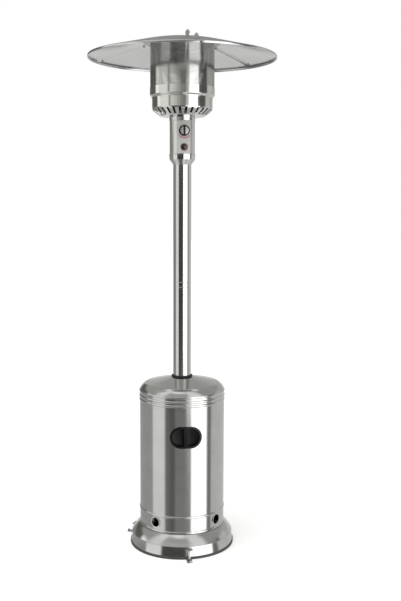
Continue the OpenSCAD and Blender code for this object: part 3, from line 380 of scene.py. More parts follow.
# Silvered faces let into the knob: satin, a little darker than the sheet round it
SATIN_SILVER = Metal("satin silver foil", "#b2b2b2", "#9a9a9a", 0.3, 0.02,
                     grain=Grain.ALL_WAYS, grain_mm=0.8, cloud_mm=9.0)
# The pole's grommet: matt black rubber
EXTRUDED_RUBBER = Moulded("extruded black rubber", "#1b1b1c", "#2a2a2b", 0.6,
                          grain_mm=1.2, grain_depth_mm=0.03)
# Powder-coated control plate: light grey, satin, with a very fine orange peel
COATED_PLATE = Moulded("light grey powder coat", "#cdcdc8", "#d5d5d0", 0.36,
                       grain_mm=1.4, grain_depth_mm=0.02)
# Screen-printed red ink on the control plate
PRINTED_RED = Moulded("screen-printed red ink, worn pale", "#c98588", "#cf999a", 0.5,
                      grain_depth_mm=0.002)
# Glazed alumina round the electrode: white and glossy
GLAZED_CERAMIC = Moulded("glazed alumina", "#e6e2d8", "#d6cfbf", 0.2, grain_depth_mm=0.005)


def mesh_object(name: str, points: Sequence[Vector], faces: Sequence[Sequence[int]],
                smooth: bool = True) -> bpy.types.Object:
    """Make a mesh object from points and faces.

    Args:
        name: The piece's name.
        points: Places in metres.
        faces: Point numbers of each face, turning so that it points outwards.
        smooth: Whether its faces are shaded smooth.

    Returns:
        The new object, linked to the scene.
    """
    mesh = bpy.data.meshes.new(name)
    mesh.from_pydata([tuple(p) for p in points], [], [tuple(f) for f in faces])
    mesh.validate()
    for polygon in mesh.polygons:
        polygon.use_smooth = smooth
    made = bpy.data.objects.new(name, mesh)
    bpy.context.scene.collection.objects.link(made)
    return made


def freeze(piece: bpy.types.Object) -> bpy.types.Object:
    """Turn a piece's modifiers into plain mesh.

    Args:
        piece: The piece, which stands at the origin.

    Returns:
        The same object with its final mesh and no modifiers.
    """
    bpy.context.view_layer.update()
    graph = bpy.context.evaluated_depsgraph_get()
    final = bpy.data.meshes.new_from_object(piece.evaluated_get(graph))
    old = piece.data
    piece.modifiers.clear()
    piece.data = final
    final.name = piece.name
    bpy.data.meshes.remove(old)
    return piece


def sharpen(piece: bpy.types.Object, degrees: float = 35.0) -> None:
    """Shade a piece smooth, but keep its edges that turn more than an angle crisp.

    Args:
        piece: The piece.
        degrees: The angle from which an edge stays crisp.
    """
    piece.data.shade_smooth()
    piece.data.set_sharp_from_angle(angle=math.radians(degrees))


def profile_normals(profile: Profile) -> Profile:
    """Give the unit normal on the left of a profile at each of its points.

    Args:
        profile: Radius and height of each point.

    Returns:
        One unit vector for each point.
    """
    found = []
    for i in range(len(profile)):
        before = profile[max(i - 1, 0)]
        after = profile[min(i + 1, len(profile) - 1)]
        along = Vector((after[0] - before[0], after[1] - before[1])).normalized()
        found.append((-along.y, along.x))
    return found


def shifted(profile: Profile, distance: float) -> Profile:
    """Move a profile to its left.

    Args:
        profile: Radius and height of each point.
        distance: How far, in the profile's unit.

    Returns:
        The moved profile.
    """
    sides = profile_normals(profile)
    return [(p[0] + n[0] * distance, p[1] + n[1] * distance)
            for p, n in zip(profile, sides)]


def revolved(name: str, profile: Profile, steps: int = 160) -> bpy.types.Object:
    """Turn a closed profile round the Z axis.

    Args:
        name: The piece's name.
        profile: Radius and height in millimetres of each corner of the section.
        steps: The number of steps round the axis.

    Returns:
        The new piece.
    """
    count = len(profile)
    points = []
    for step in range(steps):
        angle = FULL_TURN * step / steps
        for radius, height in profile:
            points.append(Vector((radius * math.cos(angle), radius * math.sin(angle),
                                  height)) * MM)
    faces = []
    for step in range(steps):
        here, there = step * count, (step + 1) % steps * count
        for i in range(count):
            j = (i + 1) % count
            faces.append((here + i, there + i, there + j, here + j))
    return outward(mesh_object(name, points, faces))


def sheet_section(outer: Profile, thickness: float) -> Profile:
    """Close a sheet's section from its outer line.

    Args:
        outer: The outer line.
        thickness: How far the inner line lies to its left.

    Returns:
        The closed section.
    """
    return outer + shifted(outer, thickness)[::-1]


def arc(centre: tuple[float, float], radius: float, start: float, end: float,
        steps: int) -> Profile:
    """Give points on an arc in a profile's plane.

    Args:
        centre: Its centre.
        radius: Its radius.
        start: The first angle in degrees.
        end: The last angle in degrees.
        steps: The number of steps between them.

    Returns:
        The arc's points.
    """
    points = []
    for i in range(steps + 1):
        angle = math.radians(start + (end - start) * i / steps)
        points.append((centre[0] + radius * math.cos(angle),
                       centre[1] + radius * math.sin(angle)))
    return points


def joined_into(target: bpy.types.Object, extra: bpy.types.Object) -> bpy.types.Object:
    """Add one piece's mesh to another's and remove the first.

    Args:
        target: The piece that stays.
        extra: The piece that goes.

    Returns:
        The piece that stays.
    """
    work = bmesh.new()
    work.from_mesh(target.data)
    work.from_mesh(extra.data)
    work.to_mesh(target.data)
    work.free()
    bpy.data.objects.remove(extra)
    return target


def outward(piece: bpy.types.Object) -> bpy.types.Object:
    """Turn the faces of a closed piece outwards.

    Args:
        piece: The piece.

    Returns:
        The same piece.
    """
    work = bmesh.new()
    work.from_mesh(piece.data)
    bmesh.ops.recalc_face_normals(work, faces=work.faces)
    work.to_mesh(piece.data)
    work.free()
    return piece


def thickened(piece: bpy.types.Object, thickness_mm: float) -> bpy.types.Object:
    """Give a surface the thickness of its sheet, on its inner side.

    Args:
        piece: The surface, whose faces point outwards.
        thickness_mm: The sheet's thickness.

    Returns:
        The same piece as a closed solid.
    """
    solid = piece.modifiers.new("thickness", "SOLIDIFY")
    solid.thickness = thickness_mm * MM
    solid.offset = -1
    return freeze(piece)


class Workshop:
    """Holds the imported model, makes each finish once and fits the pieces to the model."""

    def __init__(self, frame: dict) -> None:
        """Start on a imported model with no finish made.

        Args:
            frame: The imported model.
        """
        self._nodes: dict[str, bpy.types.Object] = frame["nodes"]
        self._made: dict[str, bpy.types.Material] = {}

    def material(self, finish: Metal | Moulded) -> bpy.types.Material:
        """Give the material of a finish, making it the first time.

        Args:
            finish: The finish that a piece has.

        Returns:
            Its material.
        """
        if finish.name not in self._made:
            self._made[finish.name] = finish.material()
        return self._made[finish.name]

    def dress(self, piece: bpy.types.Object, finish: Metal | Moulded) -> None:
        """Give a piece one finish on all its faces.

        Args:
            piece: The piece.
            finish: The finish.
        """
        piece.data.materials.clear()
        piece.data.materials.append(self.material(finish))

    def dress_nodes(self, finish: Metal | Moulded, *names: str) -> None:
        """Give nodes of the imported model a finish.

        Args:
            finish: The finish.
            *names: The nodes.
        """
        material = self.material(finish)
        for name in names:
            node = self._nodes[name]
            if not node.material_slots:
                node.data.materials.append(material)
            for place in node.material_slots:
                place.material = material

    def softened(self, node: str, name: str, width_mm: float, segments: int = 2,
                 limit: float = 40.0) -> bpy.types.Object:
        """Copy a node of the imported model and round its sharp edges.

        Args:
            node: The node that the copy stands for.
            name: The new piece's name.
            width_mm: The width of the rounding.
            segments: The number of faces across it.
            limit: The angle in degrees from which an edge is rounded.

        Returns:
            The rounded piece, with no body and no finish yet.
        """
        made = bpy.data.objects.new(name, self._nodes[node].data.copy())
        bpy.context.scene.collection.objects.link(made)
        if "custom_normal" in made.data.attributes:
            made.data.attributes.remove(made.data.attributes["custom_normal"])
        work = bmesh.new()
        work.from_mesh(made.data)
        bmesh.ops.remove_doubles(work, verts=work.verts, dist=WELD_MM * MM)
        bmesh.ops.dissolve_limit(work, angle_limit=math.radians(FLAT_DEGREES),
                                 verts=work.verts, edges=work.edges)
        work.to_mesh(made.data)
        work.free()
        bevel = made.modifiers.new("rounding", "BEVEL")
        bevel.width = width_mm * MM
        bevel.segments = segments
        bevel.limit_method = "ANGLE"
        bevel.angle_limit = math.radians(limit)
        bevel.use_clamp_overlap = True
        freeze(made)
        sharpen(made, degrees=50)
        return made

    def fit(self, piece: bpy.types.Object, node: str | None, body: Body) -> None:
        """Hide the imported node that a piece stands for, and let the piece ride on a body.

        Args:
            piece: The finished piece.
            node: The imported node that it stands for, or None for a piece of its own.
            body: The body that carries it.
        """
        if node is not None:
            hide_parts(node)
        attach(piece, body.value)
        LOG.info("%s: %d faces", piece.name, len(piece.data.polygons))


@dataclass
class Reflector:
    """Three lapped panels that make a wide shallow dome, and what holds them."""

    radius: float = 402.0
    crown_radius: float = 200.0
    hole_radius: float = 22.0
    slope_share: float = 0.254
    top_z: float = 2205.6
    rim_height: float = 10.0
    edge_radius: float = 4.5
    hem_radius: float = 1.9
    sheet: float = 1.0
    lap_width: float = 18.0
    lap_drop: float = 1.1
    joggle: float = 1.0
    skyward: float = 0.6
    span: float = 120.0
    lap_turn: float = 3.0
    radial_steps: int = 44
    turn_steps: int = 60
    edge_steps: int = 6
    hem_turn: float = 200.0
    hem_steps: int = 8
    middles: dict[str, float] = field(
        default_factory=lambda: {"rear": 92.0, "left": 212.0, "right": 332.0})

    def height(self, radius: float) -> float:
        """Give the height of the upper face at a radius.

        Args:
            radius: The distance from the axis.

        Returns:
            The height, on the crown's curve or on the straight slope round it.
        """
        if radius > self.crown_radius:
            edge = self.top_z - self.slope_share * self.crown_radius / 2
            return edge - self.slope_share * (radius - self.crown_radius)
        return self.top_z - self.slope_share * radius ** 2 / (2 * self.crown_radius)

    def profile(self) -> Profile:
        """Give the upper line of a panel's section, from the middle to the hem.

        Returns:
            Radius and height of each point.
        """
        tilt = math.degrees(math.atan(self.slope_share))
        centre_r = self.radius - self.edge_radius
        flat_end = centre_r + self.edge_radius * math.sin(math.radians(tilt))
        line = []
        for i in range(self.radial_steps + 1):
            share = i / self.radial_steps
            radius = self.hole_radius + (flat_end - self.hole_radius) * share
            line.append((radius, self.height(radius)))
        centre_z = line[-1][1] - self.edge_radius * math.cos(math.radians(tilt))
        line += arc((centre_r, centre_z), self.edge_radius, 90 - tilt, 0,
                    self.edge_steps)[1:]
        foot = self.height(self.radius) - self.rim_height + self.hem_radius
        line.append((self.radius, foot))
        line += arc((self.radius - self.hem_radius, foot), self.hem_radius, 0, -self.hem_turn,
                    self.hem_steps)[1:]
        return line

    def panel(self, name: str, middle: float) -> bpy.types.Object:
        """Build one panel with its lap under the next one.

        Args:
            name: Which panel it is.
            middle: The direction of its middle in degrees.

        Returns:
            The panel.
        """
        upper = self.profile()
        dropped = shifted(upper, -self.lap_drop)
        start = math.radians(middle - self.span / 2)
        columns: list[tuple[bool, Callable[[float], tuple[float, float]]]] = []
        for offset, low in ((-self.lap_width, True), (-self.joggle, True), (self.joggle, False)):
            columns.append((low, lambda r, w=offset: (math.sqrt(r * r - w * w), w)))
        for i in range(self.turn_steps + 1):
            turn = math.radians(self.lap_turn
                                + (self.span - self.lap_turn) * i / self.turn_steps)
            columns.append((False, lambda r, t=turn: (r * math.cos(t), r * math.sin(t))))
        spin = Matrix.Rotation(start, 3, "Z")
        points = []
        for low, place in columns:
            for radius, height in (dropped if low else upper):
                x, y = place(radius)
                points.append(spin @ Vector((x, y, height)) * MM)
        count = len(upper)
        faces = []
        for column in range(len(columns) - 1):
            for i in range(count - 1):
                a = column * count + i
                b = a + count
                faces.append((a, a + 1, b + 1, b))
        made = thickened(mesh_object(f"reflector_sheet_{name}", points, faces), self.sheet)
        sharpen(made)
        return made

    def paint_top_shade(self, panel: bpy.types.Object, material: bpy.types.Material) -> None:
        """Give the faces of a panel that look up a darker copy of its aluminium: painted shade.

        Args:
            panel: The panel.
            material: The darker copy, whose colour is painted shade on the dome's top.
        """
        panel.data.materials.append(material)
        for face in panel.data.polygons:
            # Painted shade: faces that look up take the darker copy of the aluminium
            if face.normal.z > self.skyward:
                face.material_index = 1

    def build(self, shop: Workshop) -> None:
        """Build the panels and dress what holds them.

        Args:
            shop: Where the pieces are finished and fitted.
        """
        for name, middle in self.middles.items():
            made = self.panel(name, middle)
            shop.dress(made, MILL_ALUMINIUM)
            # The darker copy on the panels' upward faces is painted shade
            self.paint_top_shade(made, shop.material(SHADED_TOP_ALUMINIUM))
            shop.fit(made, f"reflector_panel_{name}", Body.STAND)
        shop.dress_nodes(ZINC_PLATE, "reflector_studs", "stud_spacers", "stud_nuts",
                         "seam_screws", "seam_wing_nuts", "head_top_plate")


@dataclass
class BurnerHead:
    """The slotted bowl, the collar and the perforated screen round the flame."""

    screen_radius: float = 137.1
    screen_sheet: float = 1.0
    screen_foot_z: float = 1966.9
    screen_top_z: float = 2183.3
    collar_top_z: float = 1999.3
    hole_radius: float = 1.65
    columns: int = 144
    row_share: float = 0.866
    weld: float = 0.05
    plain_top: float = 6.0
    bowl_radius: float = 130.8
    collar_radius: float = 138.6
    collar_foot_z: float = 1951.3
    swell_z: float = 1956.3
    swell_rise: float = 10.0
    swell_ease: float = 0.6
    swell_steps: int = 12
    collar_sheet: float = 1.4

    def cell(self, width: float, height: float) -> bpy.types.Object:
        """Build one cell of the screen: a flat patch round a six-sided hole.

        Args:
            width: The cell's width in millimetres.
            height: Its height in millimetres.

        Returns:
            The cell, flat in X and Y.
        """
        half_w, half_h = width / 2, height / 2
        outer = [(0, half_h), (half_w, half_h), (half_w, -half_h),
                 (0, -half_h), (-half_w, -half_h), (-half_w, half_h)]
        sides = len(outer)
        points = [Vector((x, y, 0)) * MM for x, y in outer]
        for i in range(sides):
            angle = math.radians(90 - 360 * i / sides)
            points.append(Vector((math.cos(angle), math.sin(angle), 0)) * self.hole_radius * MM)
        faces = [(i, sides + i, sides + (i + 1) % sides, (i + 1) % sides)
                 for i in range(sides)]
        return mesh_object("perforated_screen", points, faces, smooth=False)

    def tree(self, material: bpy.types.Material) -> bpy.types.NodeTree:
        """Build the node tree that sets one cell round the screen row by row.

        Args:
            material: The screen's finish.

        Returns:
            The geometry node tree.
        """
        tree = bpy.data.node_groups.new("staggered perforation", "GeometryNodeTree")
        face = tree.interface
        face.new_socket("Geometry", in_out="INPUT", socket_type="NodeSocketGeometry")
        for name in ("Radius", "Foot", "Width", "Height"):
            face.new_socket(name, in_out="INPUT", socket_type="NodeSocketFloat")
        for name in ("Columns", "Rows"):
            face.new_socket(name, in_out="INPUT", socket_type="NodeSocketInt")
        face.new_socket("Geometry", in_out="OUTPUT", socket_type="NodeSocketGeometry")
        into = add_node(tree, "NodeGroupInput").outputs

        def calc(operation: str, a: object, b: object = 0.0) -> bpy.types.NodeSocket:
            """Add a sum of two values."""
            return add_node(tree, "ShaderNodeMath", {0: a, 1: b}, operation=operation).outputs[0]

        count = calc("MULTIPLY", into["Columns"], into["Rows"])
        points = add_node(tree, "GeometryNodePoints", {"Count": count})
        number = add_node(tree, "GeometryNodeInputIndex").outputs[0]
        row = calc("FLOOR", calc("DIVIDE", calc("ADD", number, 0.5), into["Columns"]))
        column = calc("SUBTRACT", number, calc("MULTIPLY", row, into["Columns"]))
        stagger = calc("MULTIPLY", calc("MODULO", row, 2.0), 0.5)
        across = calc("MULTIPLY", calc("ADD", column, stagger), into["Width"])
        up = calc("MULTIPLY", calc("ADD", row, 0.5), into["Height"])
        spot = add_node(tree, "ShaderNodeCombineXYZ", {"X": across, "Y": up})
        placed = add_node(tree, "GeometryNodeSetPosition",
                          {"Geometry": points.outputs[0], "Position": spot.outputs[0]})
        copies = add_node(tree, "GeometryNodeInstanceOnPoints", {
            "Points": placed.outputs[0], "Instance": into["Geometry"]})
        real = add_node(tree, "GeometryNodeRealizeInstances", {"Geometry": copies.outputs[0]})
        place = add_node(tree, "GeometryNodeInputPosition").outputs[0]
        parts = add_node(tree, "ShaderNodeSeparateXYZ", {0: place}).outputs
        turn = calc("DIVIDE", parts["X"], into["Radius"])
        wrapped = add_node(tree, "ShaderNodeCombineXYZ", {
            "X": calc("MULTIPLY", calc("COSINE", turn), into["Radius"]),
            "Y": calc("MULTIPLY", calc("SINE", turn), into["Radius"]),
            "Z": calc("ADD", parts["Y"], into["Foot"])})
        round_it = add_node(tree, "GeometryNodeSetPosition",
                            {"Geometry": real.outputs[0], "Position": wrapped.outputs[0]})
        joined = add_node(tree, "GeometryNodeMergeByDistance",
                          {"Geometry": round_it.outputs[0], "Distance": self.weld * MM})
        dressed = add_node(tree, "GeometryNodeSetMaterial",
                           {"Geometry": joined.outputs[0], "Material": material})
        add_node(tree, "NodeGroupOutput", {0: dressed.outputs[0]})
        return tree

    def screen(self, shop: Workshop) -> bpy.types.Object:
        """Build the perforated part of the screen.

        Args:
            shop: Where the piece is finished.

        Returns:
            The screen.
        """
        width = FULL_TURN * self.screen_radius / self.columns
        room = self.screen_top_z - self.plain_top - self.collar_top_z
        rows = int(room / (width * self.row_share))
        height = room / rows
        made = self.cell(width, height)
        modifier = made.modifiers.new("perforation", "NODES")
        modifier.node_group = self.tree(shop.material(HEATED_STAINLESS))
        values = {"Radius": self.screen_radius * MM, "Foot": self.collar_top_z * MM,
                  "Width": width * MM, "Height": height * MM,
                  "Columns": self.columns, "Rows": rows}
        for item in modifier.node_group.interface.items_tree:
            if item.in_out == "INPUT" and item.name in values:
                modifier[item.identifier] = values[item.name]
        thickened(freeze(made), self.screen_sheet)
        shop.dress(made, HEATED_STAINLESS)
        sharpen(made, degrees=30)
        return made

    def plain_edges(self, shop: Workshop) -> bpy.types.Object:
        """Build the screen's plain strips at its foot and its top.

        Args:
            shop: Where the piece is finished.

        Returns:
            Both strips as one piece.
        """
        inner = self.screen_radius - self.screen_sheet
        strips = [
            revolved("screen_edges", [(self.screen_radius, low), (self.screen_radius, high),
                                      (inner, high), (inner, low)])
            for low, high in ((self.screen_foot_z, self.collar_top_z),
                              (self.screen_top_z - self.plain_top, self.screen_top_z))]
        made = joined_into(*strips)
        shop.dress(made, HEATED_STAINLESS)
        sharpen(made)
        return made

    def collar(self, shop: Workshop) -> bpy.types.Object:
        """Build the collar: a band that swells from the bowl to the screen in an S-curve.

        Args:
            shop: Where the piece is finished.

        Returns:
            The collar.
        """
        line = [(self.bowl_radius, self.collar_foot_z),
                (self.bowl_radius, self.swell_z - self.swell_ease)]
        for i in range(self.swell_steps + 1):
            share = i / self.swell_steps
            swell = share * share * (3 - 2 * share)
            line.append((self.bowl_radius + (self.collar_radius - self.bowl_radius) * swell,
                         self.swell_z + self.swell_rise * share))
        line += [(self.collar_radius, self.swell_z + self.swell_rise + self.swell_ease),
                 (self.collar_radius, self.collar_top_z)]
        made = revolved("collar_pressing", sheet_section(line, self.collar_sheet),
                        PRESSING_STEPS)
        shop.dress(made, BUFFED_STAINLESS)
        sharpen(made)
        return made

    def build(self, shop: Workshop) -> None:
        """Build the screen and the collar, and dress the burner.

        Args:
            shop: Where the pieces are finished and fitted.
        """
        for made in (self.screen(shop), self.plain_edges(shop)):
            shop.fit(made, "emitter_screen", Body.STAND)
        shop.fit(self.collar(shop), "collar_band", Body.STAND)
        shop.dress_nodes(BUFFED_STAINLESS, "burner_bowl")
        shop.dress_nodes(SCALED_STEEL, "burner_plate", "burner_cup")
        shop.dress_nodes(ZINC_PLATE, "mixing_tube", "bowl_screws")
        shop.dress_nodes(TURNED_BRASS, "gas_orifice", "pilot_burner", "thermocouple")
        shop.dress_nodes(GLAZED_CERAMIC, "igniter_electrode")


@dataclass
class ControlHead:
    """The control housing with its plate, knob, igniter and gas valve."""

    plate_radius: float = 55.5
    knob_z: float = 1816.0
    igniter_z: float = 1748.0
    ink: float = 0.12
    dial_radius: float = 27.5
    ring_radius: float = 16.2
    lens_radius: float = 17.6
    lens_face: float = 74.4
    lens_dome: float = 0.7
    lens_sheet: float = 0.8
    lens_reach: float = 0.995
    lens_steps: tuple[int, int] = (10, 16)
    ridge_half: float = 3.6
    arc_turn: tuple[float, float] = (214.0, 322.0)
    arc_widths: tuple[float, float] = (3.0, 7.0)
    ring_turn: tuple[float, float] = (-150.0, 60.0)
    ring_widths: tuple[float, float] = (1.6, 3.4)
    knob_edge: float = 0.7
    bezel_edge: float = 0.5
    plate_edge: float = 0.3
    button_edge: float = 1.2

    def on_plate(self, across: float, up: float, proud: float) -> Vector:
        """Give a point on the curved plate.

        Args:
            across: Distance from the plate's middle line, in millimetres.
            up: Height in millimetres.
            proud: Height above the plate's face, in millimetres.

        Returns:
            The point in metres.
        """
        turn = across / self.plate_radius
        reach = self.plate_radius + proud
        return Vector((reach * math.sin(turn), -reach * math.cos(turn), up)) * MM

    def printed_band(self, name: str, centre_z: float, radius: float, turn: tuple[float, float],
                     widths: tuple[float, float], steps: int = 48) -> bpy.types.Object:
        """Build a printed arc that gets wider from its start to its end.

        Args:
            name: The piece's name.
            centre_z: Height of the arc's centre.
            radius: The arc's inner radius.
            turn: Its first and its last angle in degrees.
            widths: Its width at both ends.
            steps: The number of steps along it.

        Returns:
            The arc as a thin closed solid.
        """
        points, faces = [], []
        for i in range(steps + 1):
            share = i / steps
            angle = math.radians(turn[0] + (turn[1] - turn[0]) * share)
            width = widths[0] + (widths[1] - widths[0]) * share
            for reach, proud in ((radius, 0), (radius + width, 0),
                                 (radius + width, self.ink), (radius, self.ink)):
                points.append(self.on_plate(reach * math.cos(angle),
                                            centre_z + reach * math.sin(angle), proud))
        for i in range(steps):
            a, b = i * 4, (i + 1) * 4
            for k in range(4):
                n = (k + 1) % 4
                faces.append((a + k, a + n, b + n, b + k))
        faces += [(3, 2, 1, 0), tuple(steps * 4 + k for k in range(4))]
        made = outward(mesh_object(name, points, faces))
        sharpen(made)
        return made

    def lens(self, side: int) -> bpy.types.Object:
        """Build one silvered face of the knob, slightly domed towards the ridge.

        Args:
            side: 1 for the face right of the ridge, -1 for the left one.

        Returns:
            The face.
        """
        across, along = self.lens_steps
        width = (self.lens_radius - self.ridge_half) * self.lens_reach
        points = []
        for i in range(across + 1):
            x = self.ridge_half + width * i / across
            reach = math.sqrt(self.lens_radius ** 2 - x * x)
            for j in range(along + 1):
                z = reach * (2 * j / along - 1)
                rise = self.lens_dome * (1 - (x * x + z * z) / self.lens_radius ** 2)
                points.append(Vector((side * x, -self.lens_face - rise, self.knob_z + z)) * MM)
        faces = []
        for i in range(across):
            for j in range(along):
                a = i * (along + 1) + j
                quad = (a, a + along + 1, a + along + 2, a + 1)
                faces.append(quad if side > 0 else quad[::-1])
        made = thickened(mesh_object("knob_faces", points, faces), self.lens_sheet)
        sharpen(made)
        return made

    def build(self, shop: Workshop) -> None:
        """Build the knob, the plate, the bezel, the button and the prints, and dress the rest.

        Args:
            shop: Where the pieces are finished and fitted.
        """
        plan = (
            ("control_knob", "knob_body", self.knob_edge, GLOSSY_PLASTIC, "black_plastic",
             Body.KNOB),
            ("igniter_bezel", "button_bezel", self.bezel_edge, GLOSSY_PLASTIC, "black_plastic",
             Body.STAND),
            ("control_plate", "face_plate", self.plate_edge, COATED_PLATE, "plate_grey",
             Body.STAND),
            ("igniter_button", "button_cap", self.button_edge, BUTTON_PLASTIC, "red_button",
             Body.BUTTON),
        )
        for node, name, width, finish, slot, body in plan:
            made = shop.softened(node, name, width)
            shop.dress(made, finish)
            shop.fit(made, node, body)
        faces = joined_into(self.lens(1), self.lens(-1))
        shop.dress(faces, SATIN_SILVER)
        shop.fit(faces, "knob_inlays", Body.KNOB)
        prints = (
            self.printed_band("dial_arc", self.knob_z, self.dial_radius, self.arc_turn,
                              self.arc_widths),
            self.printed_band("button_ring", self.igniter_z, self.ring_radius, self.ring_turn,
                              self.ring_widths),
        )
        for made in prints:
            shop.dress(made, PRINTED_RED)
            shop.fit(made, None, Body.STAND)
        shop.dress_nodes(DRAWN_STAINLESS, "control_housing")
        shop.dress_nodes(BUFFED_STAINLESS, "neck_cone")
        shop.dress_nodes(GRAINED_PLASTIC, "igniter_body", "tilt_switch")
        shop.dress_nodes(TURNED_BRASS, "gas_valve", "gas_inlet_fitting", "valve_plug")
        shop.dress_nodes(ZINC_PLATE, "valve_stem", "valve_bracket", "plate_studs",
                         "neck_screws")


class Pole:
    """The two pole tubes, their coupler and the legs that carry them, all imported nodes."""

    def build(self, shop: Workshop) -> None:
        """Dress the pole and its legs.

        Args:
            shop: Where the nodes are finished.
        """
        shop.dress_nodes(DRAWN_STAINLESS, "lower_pole", "upper_pole")
        shop.dress_nodes(ZINC_PLATE, "pole_coupler", "pole_screws", "pole_socket",
                         "socket_clamp_screw", "support_leg_rear", "support_leg_left",
                         "support_leg_right", "leg_foot_bolts", "leg_top_bolts")


@dataclass
class BottleHousing:
    """The round shell, its cover, the handle cup and the vents."""

    radius: float = 187.3
    sheet: float = 1.0
    seam_z: float = 699.0
    seam_gap: float = 0.1
    shoulder_rise: float = 26.0
    shoulder_inner: float = 162.0
    cone_z: float = 751.0
    pole_hole: float = 42.0
    lip: float = 14.0
    curve_from: float = 30.0
    curve_to: float = 60.0
    curve_steps: int = 28
    edge_bend: float = 3.0
    bend_steps: int = 6
    cone_shares: tuple[float, ...] = (0.1, 0.3, 0.5, 0.75, 1.0)
    handle_edge: float = 1.1
    handle_edge_faces: int = 3

    def cover_line(self) -> Profile:
        """Give the cover's outer line: the shoulder, the bend at its top and the cone.

        Returns:
            Radius and height of each point, from the seam to the pole.
        """
        first, last = math.radians(self.curve_from), math.radians(self.curve_to)
        line = []
        for i in range(self.curve_steps + 1):
            angle = first + (last - first) * i / self.curve_steps
            across = (math.cos(first) - math.cos(angle)) / (math.cos(first) - math.cos(last))
            up = (math.sin(angle) - math.sin(first)) / (math.sin(last) - math.sin(first))
            line.append((self.radius + (self.shoulder_inner - self.radius) * across,
                         self.seam_z + self.seam_gap + self.shoulder_rise * up))
        corner, top = Vector(line[-1]), Vector((self.pole_hole, self.cone_z))
        while (Vector(line[-1]) - corner).length < self.edge_bend:
            line.pop()
        start = Vector(line[-1])
        end = corner + (top - corner).normalized() * self.edge_bend
        for i in range(1, self.bend_steps + 1):
            share = i / self.bend_steps
            line.append(tuple(start.lerp(corner, share).lerp(corner.lerp(end, share), share)))
        return line + [tuple(corner.lerp(top, share)) for share in self.cone_shares]

    def cover(self) -> bpy.types.Object:
        """Build the cover, whose lip goes down inside the shell.

        Returns:
            The cover.
        """
        outer = self.cover_line()
        inner = shifted(outer, self.sheet)
        lip_r = self.radius - self.sheet - self.seam_gap
        foot, seam = self.seam_z - self.lip, self.seam_z + self.seam_gap
        inner[0] = (lip_r - self.sheet, seam)
        lip = [(lip_r - self.sheet, foot), (lip_r, foot), (lip_r, seam)]
        made = revolved("cover_pressing", outer + inner[::-1] + lip, PRESSING_STEPS)
        sharpen(made, degrees=40)
        return made

    def build(self, shop: Workshop) -> None:
        """Build the cover and the handle, and dress the housing.

        Args:
            shop: Where the pieces are finished and fitted.
        """
        cover = self.cover()
        shop.dress(cover, BRUSHED_STAINLESS)
        shop.fit(cover, "housing_top", Body.HOUSING)
        handle = shop.softened("handle_cup", "handle_moulding", self.handle_edge,
                               self.handle_edge_faces)
        shop.dress(handle, GRAINED_PLASTIC)
        shop.fit(handle, "handle_cup", Body.HOUSING)
        shop.dress_nodes(BRUSHED_STAINLESS, "housing_shell")
        shop.dress_nodes(BUFFED_STAINLESS, "vent_rims")
        shop.dress_nodes(ZINC_PLATE, "housing_rivets")
        shop.dress_nodes(EXTRUDED_RUBBER, "pole_grommet")


@dataclass
class Base:
    """The pressed base pan, its edge trim and the floor anchors."""

    foot_radius: float = 227.4
    waist_radius: float = 226.0
    shoulder_radius: float = 222.0
    deck_radius: float = 190.3
    crease_z: float = 54.0
    deck_z: float = 93.0
    edge_z: float = 2.0
    flare_z: float = 12.0
    waist_z: float = 17.5
    hole_radius: float = 30.0
    sheet: float = 1.2
    bulge_share: float = 0.05
    bead: float = 1.3
    bead_turn: float = 80.0
    bead_steps: int = 6
    deck_flat: float = 8.0
    curve_steps: int = 28
    bracket_edge: float = 0.8

    def pan(self) -> bpy.types.Object:
        """Build the pan: skirt, crease, shoulder and deck.

        Returns:
            The pan.
        """
        line = [(self.foot_radius, self.edge_z), (self.foot_radius, self.flare_z),
                (self.waist_radius, self.waist_z)]
        across = self.shoulder_radius - self.deck_radius
        rise = self.deck_z - self.crease_z
        line += arc((self.shoulder_radius, self.crease_z - self.bead), self.bead,
                    -self.bead_turn, self.bead_turn, self.bead_steps)
        for i in range(self.curve_steps + 1):
            share = i / self.curve_steps
            bulge = self.bulge_share * across * math.sin(math.pi * share)
            line.append((self.shoulder_radius - across * share + bulge,
                         self.crease_z + rise * share + bulge))
        line += [(self.deck_radius - self.deck_flat, self.deck_z), (self.hole_radius, self.deck_z)]
        made = revolved("pan_pressing", sheet_section(line, self.sheet), PRESSING_STEPS)
        sharpen(made, degrees=24)
        return made

    def build(self, shop: Workshop) -> None:
        """Build the pan and the brackets, and dress the rest of the base.

        Args:
            shop: Where the pieces are finished and fitted.
        """
        pan = self.pan()
        shop.dress(pan, BRUSHED_STAINLESS)
        shop.fit(pan, "base_pan", Body.STAND)
        brackets = shop.softened("anchor_brackets", "bracket_pressings", self.bracket_edge)
        shop.dress(brackets, ZINC_PLATE)
        shop.fit(brackets, "anchor_brackets", Body.STAND)
        shop.dress_nodes(SCUFFED_TRIM, "base_edge_trim")
        shop.dress_nodes(ZINC_PLATE, "anchor_wing_screws")


@dataclass(frozen=True)
class Strip:
    """One upright panel of the studio that the metal mirrors."""

    start: float
    colour: str
    level: float = 0.71

    def light(self) -> tuple[float, float, float, float]:
        """Give the panel's light: its colour at its level."""
        red, green, blue, alpha = linear(self.colour)
        return red * self.level, green * self.level, blue * self.level, alpha


@dataclass(frozen=True)
class Row:
    """A ring of panels, each up to where the next one starts.

    edge is half of the width of the change between two panels, and rise is where the
    change from the row below starts and ends, both in degrees.
    """

    strips: tuple[Strip, ...]
    edge: float
    rise: tuple[float, float] = (-90.0, -90.0)


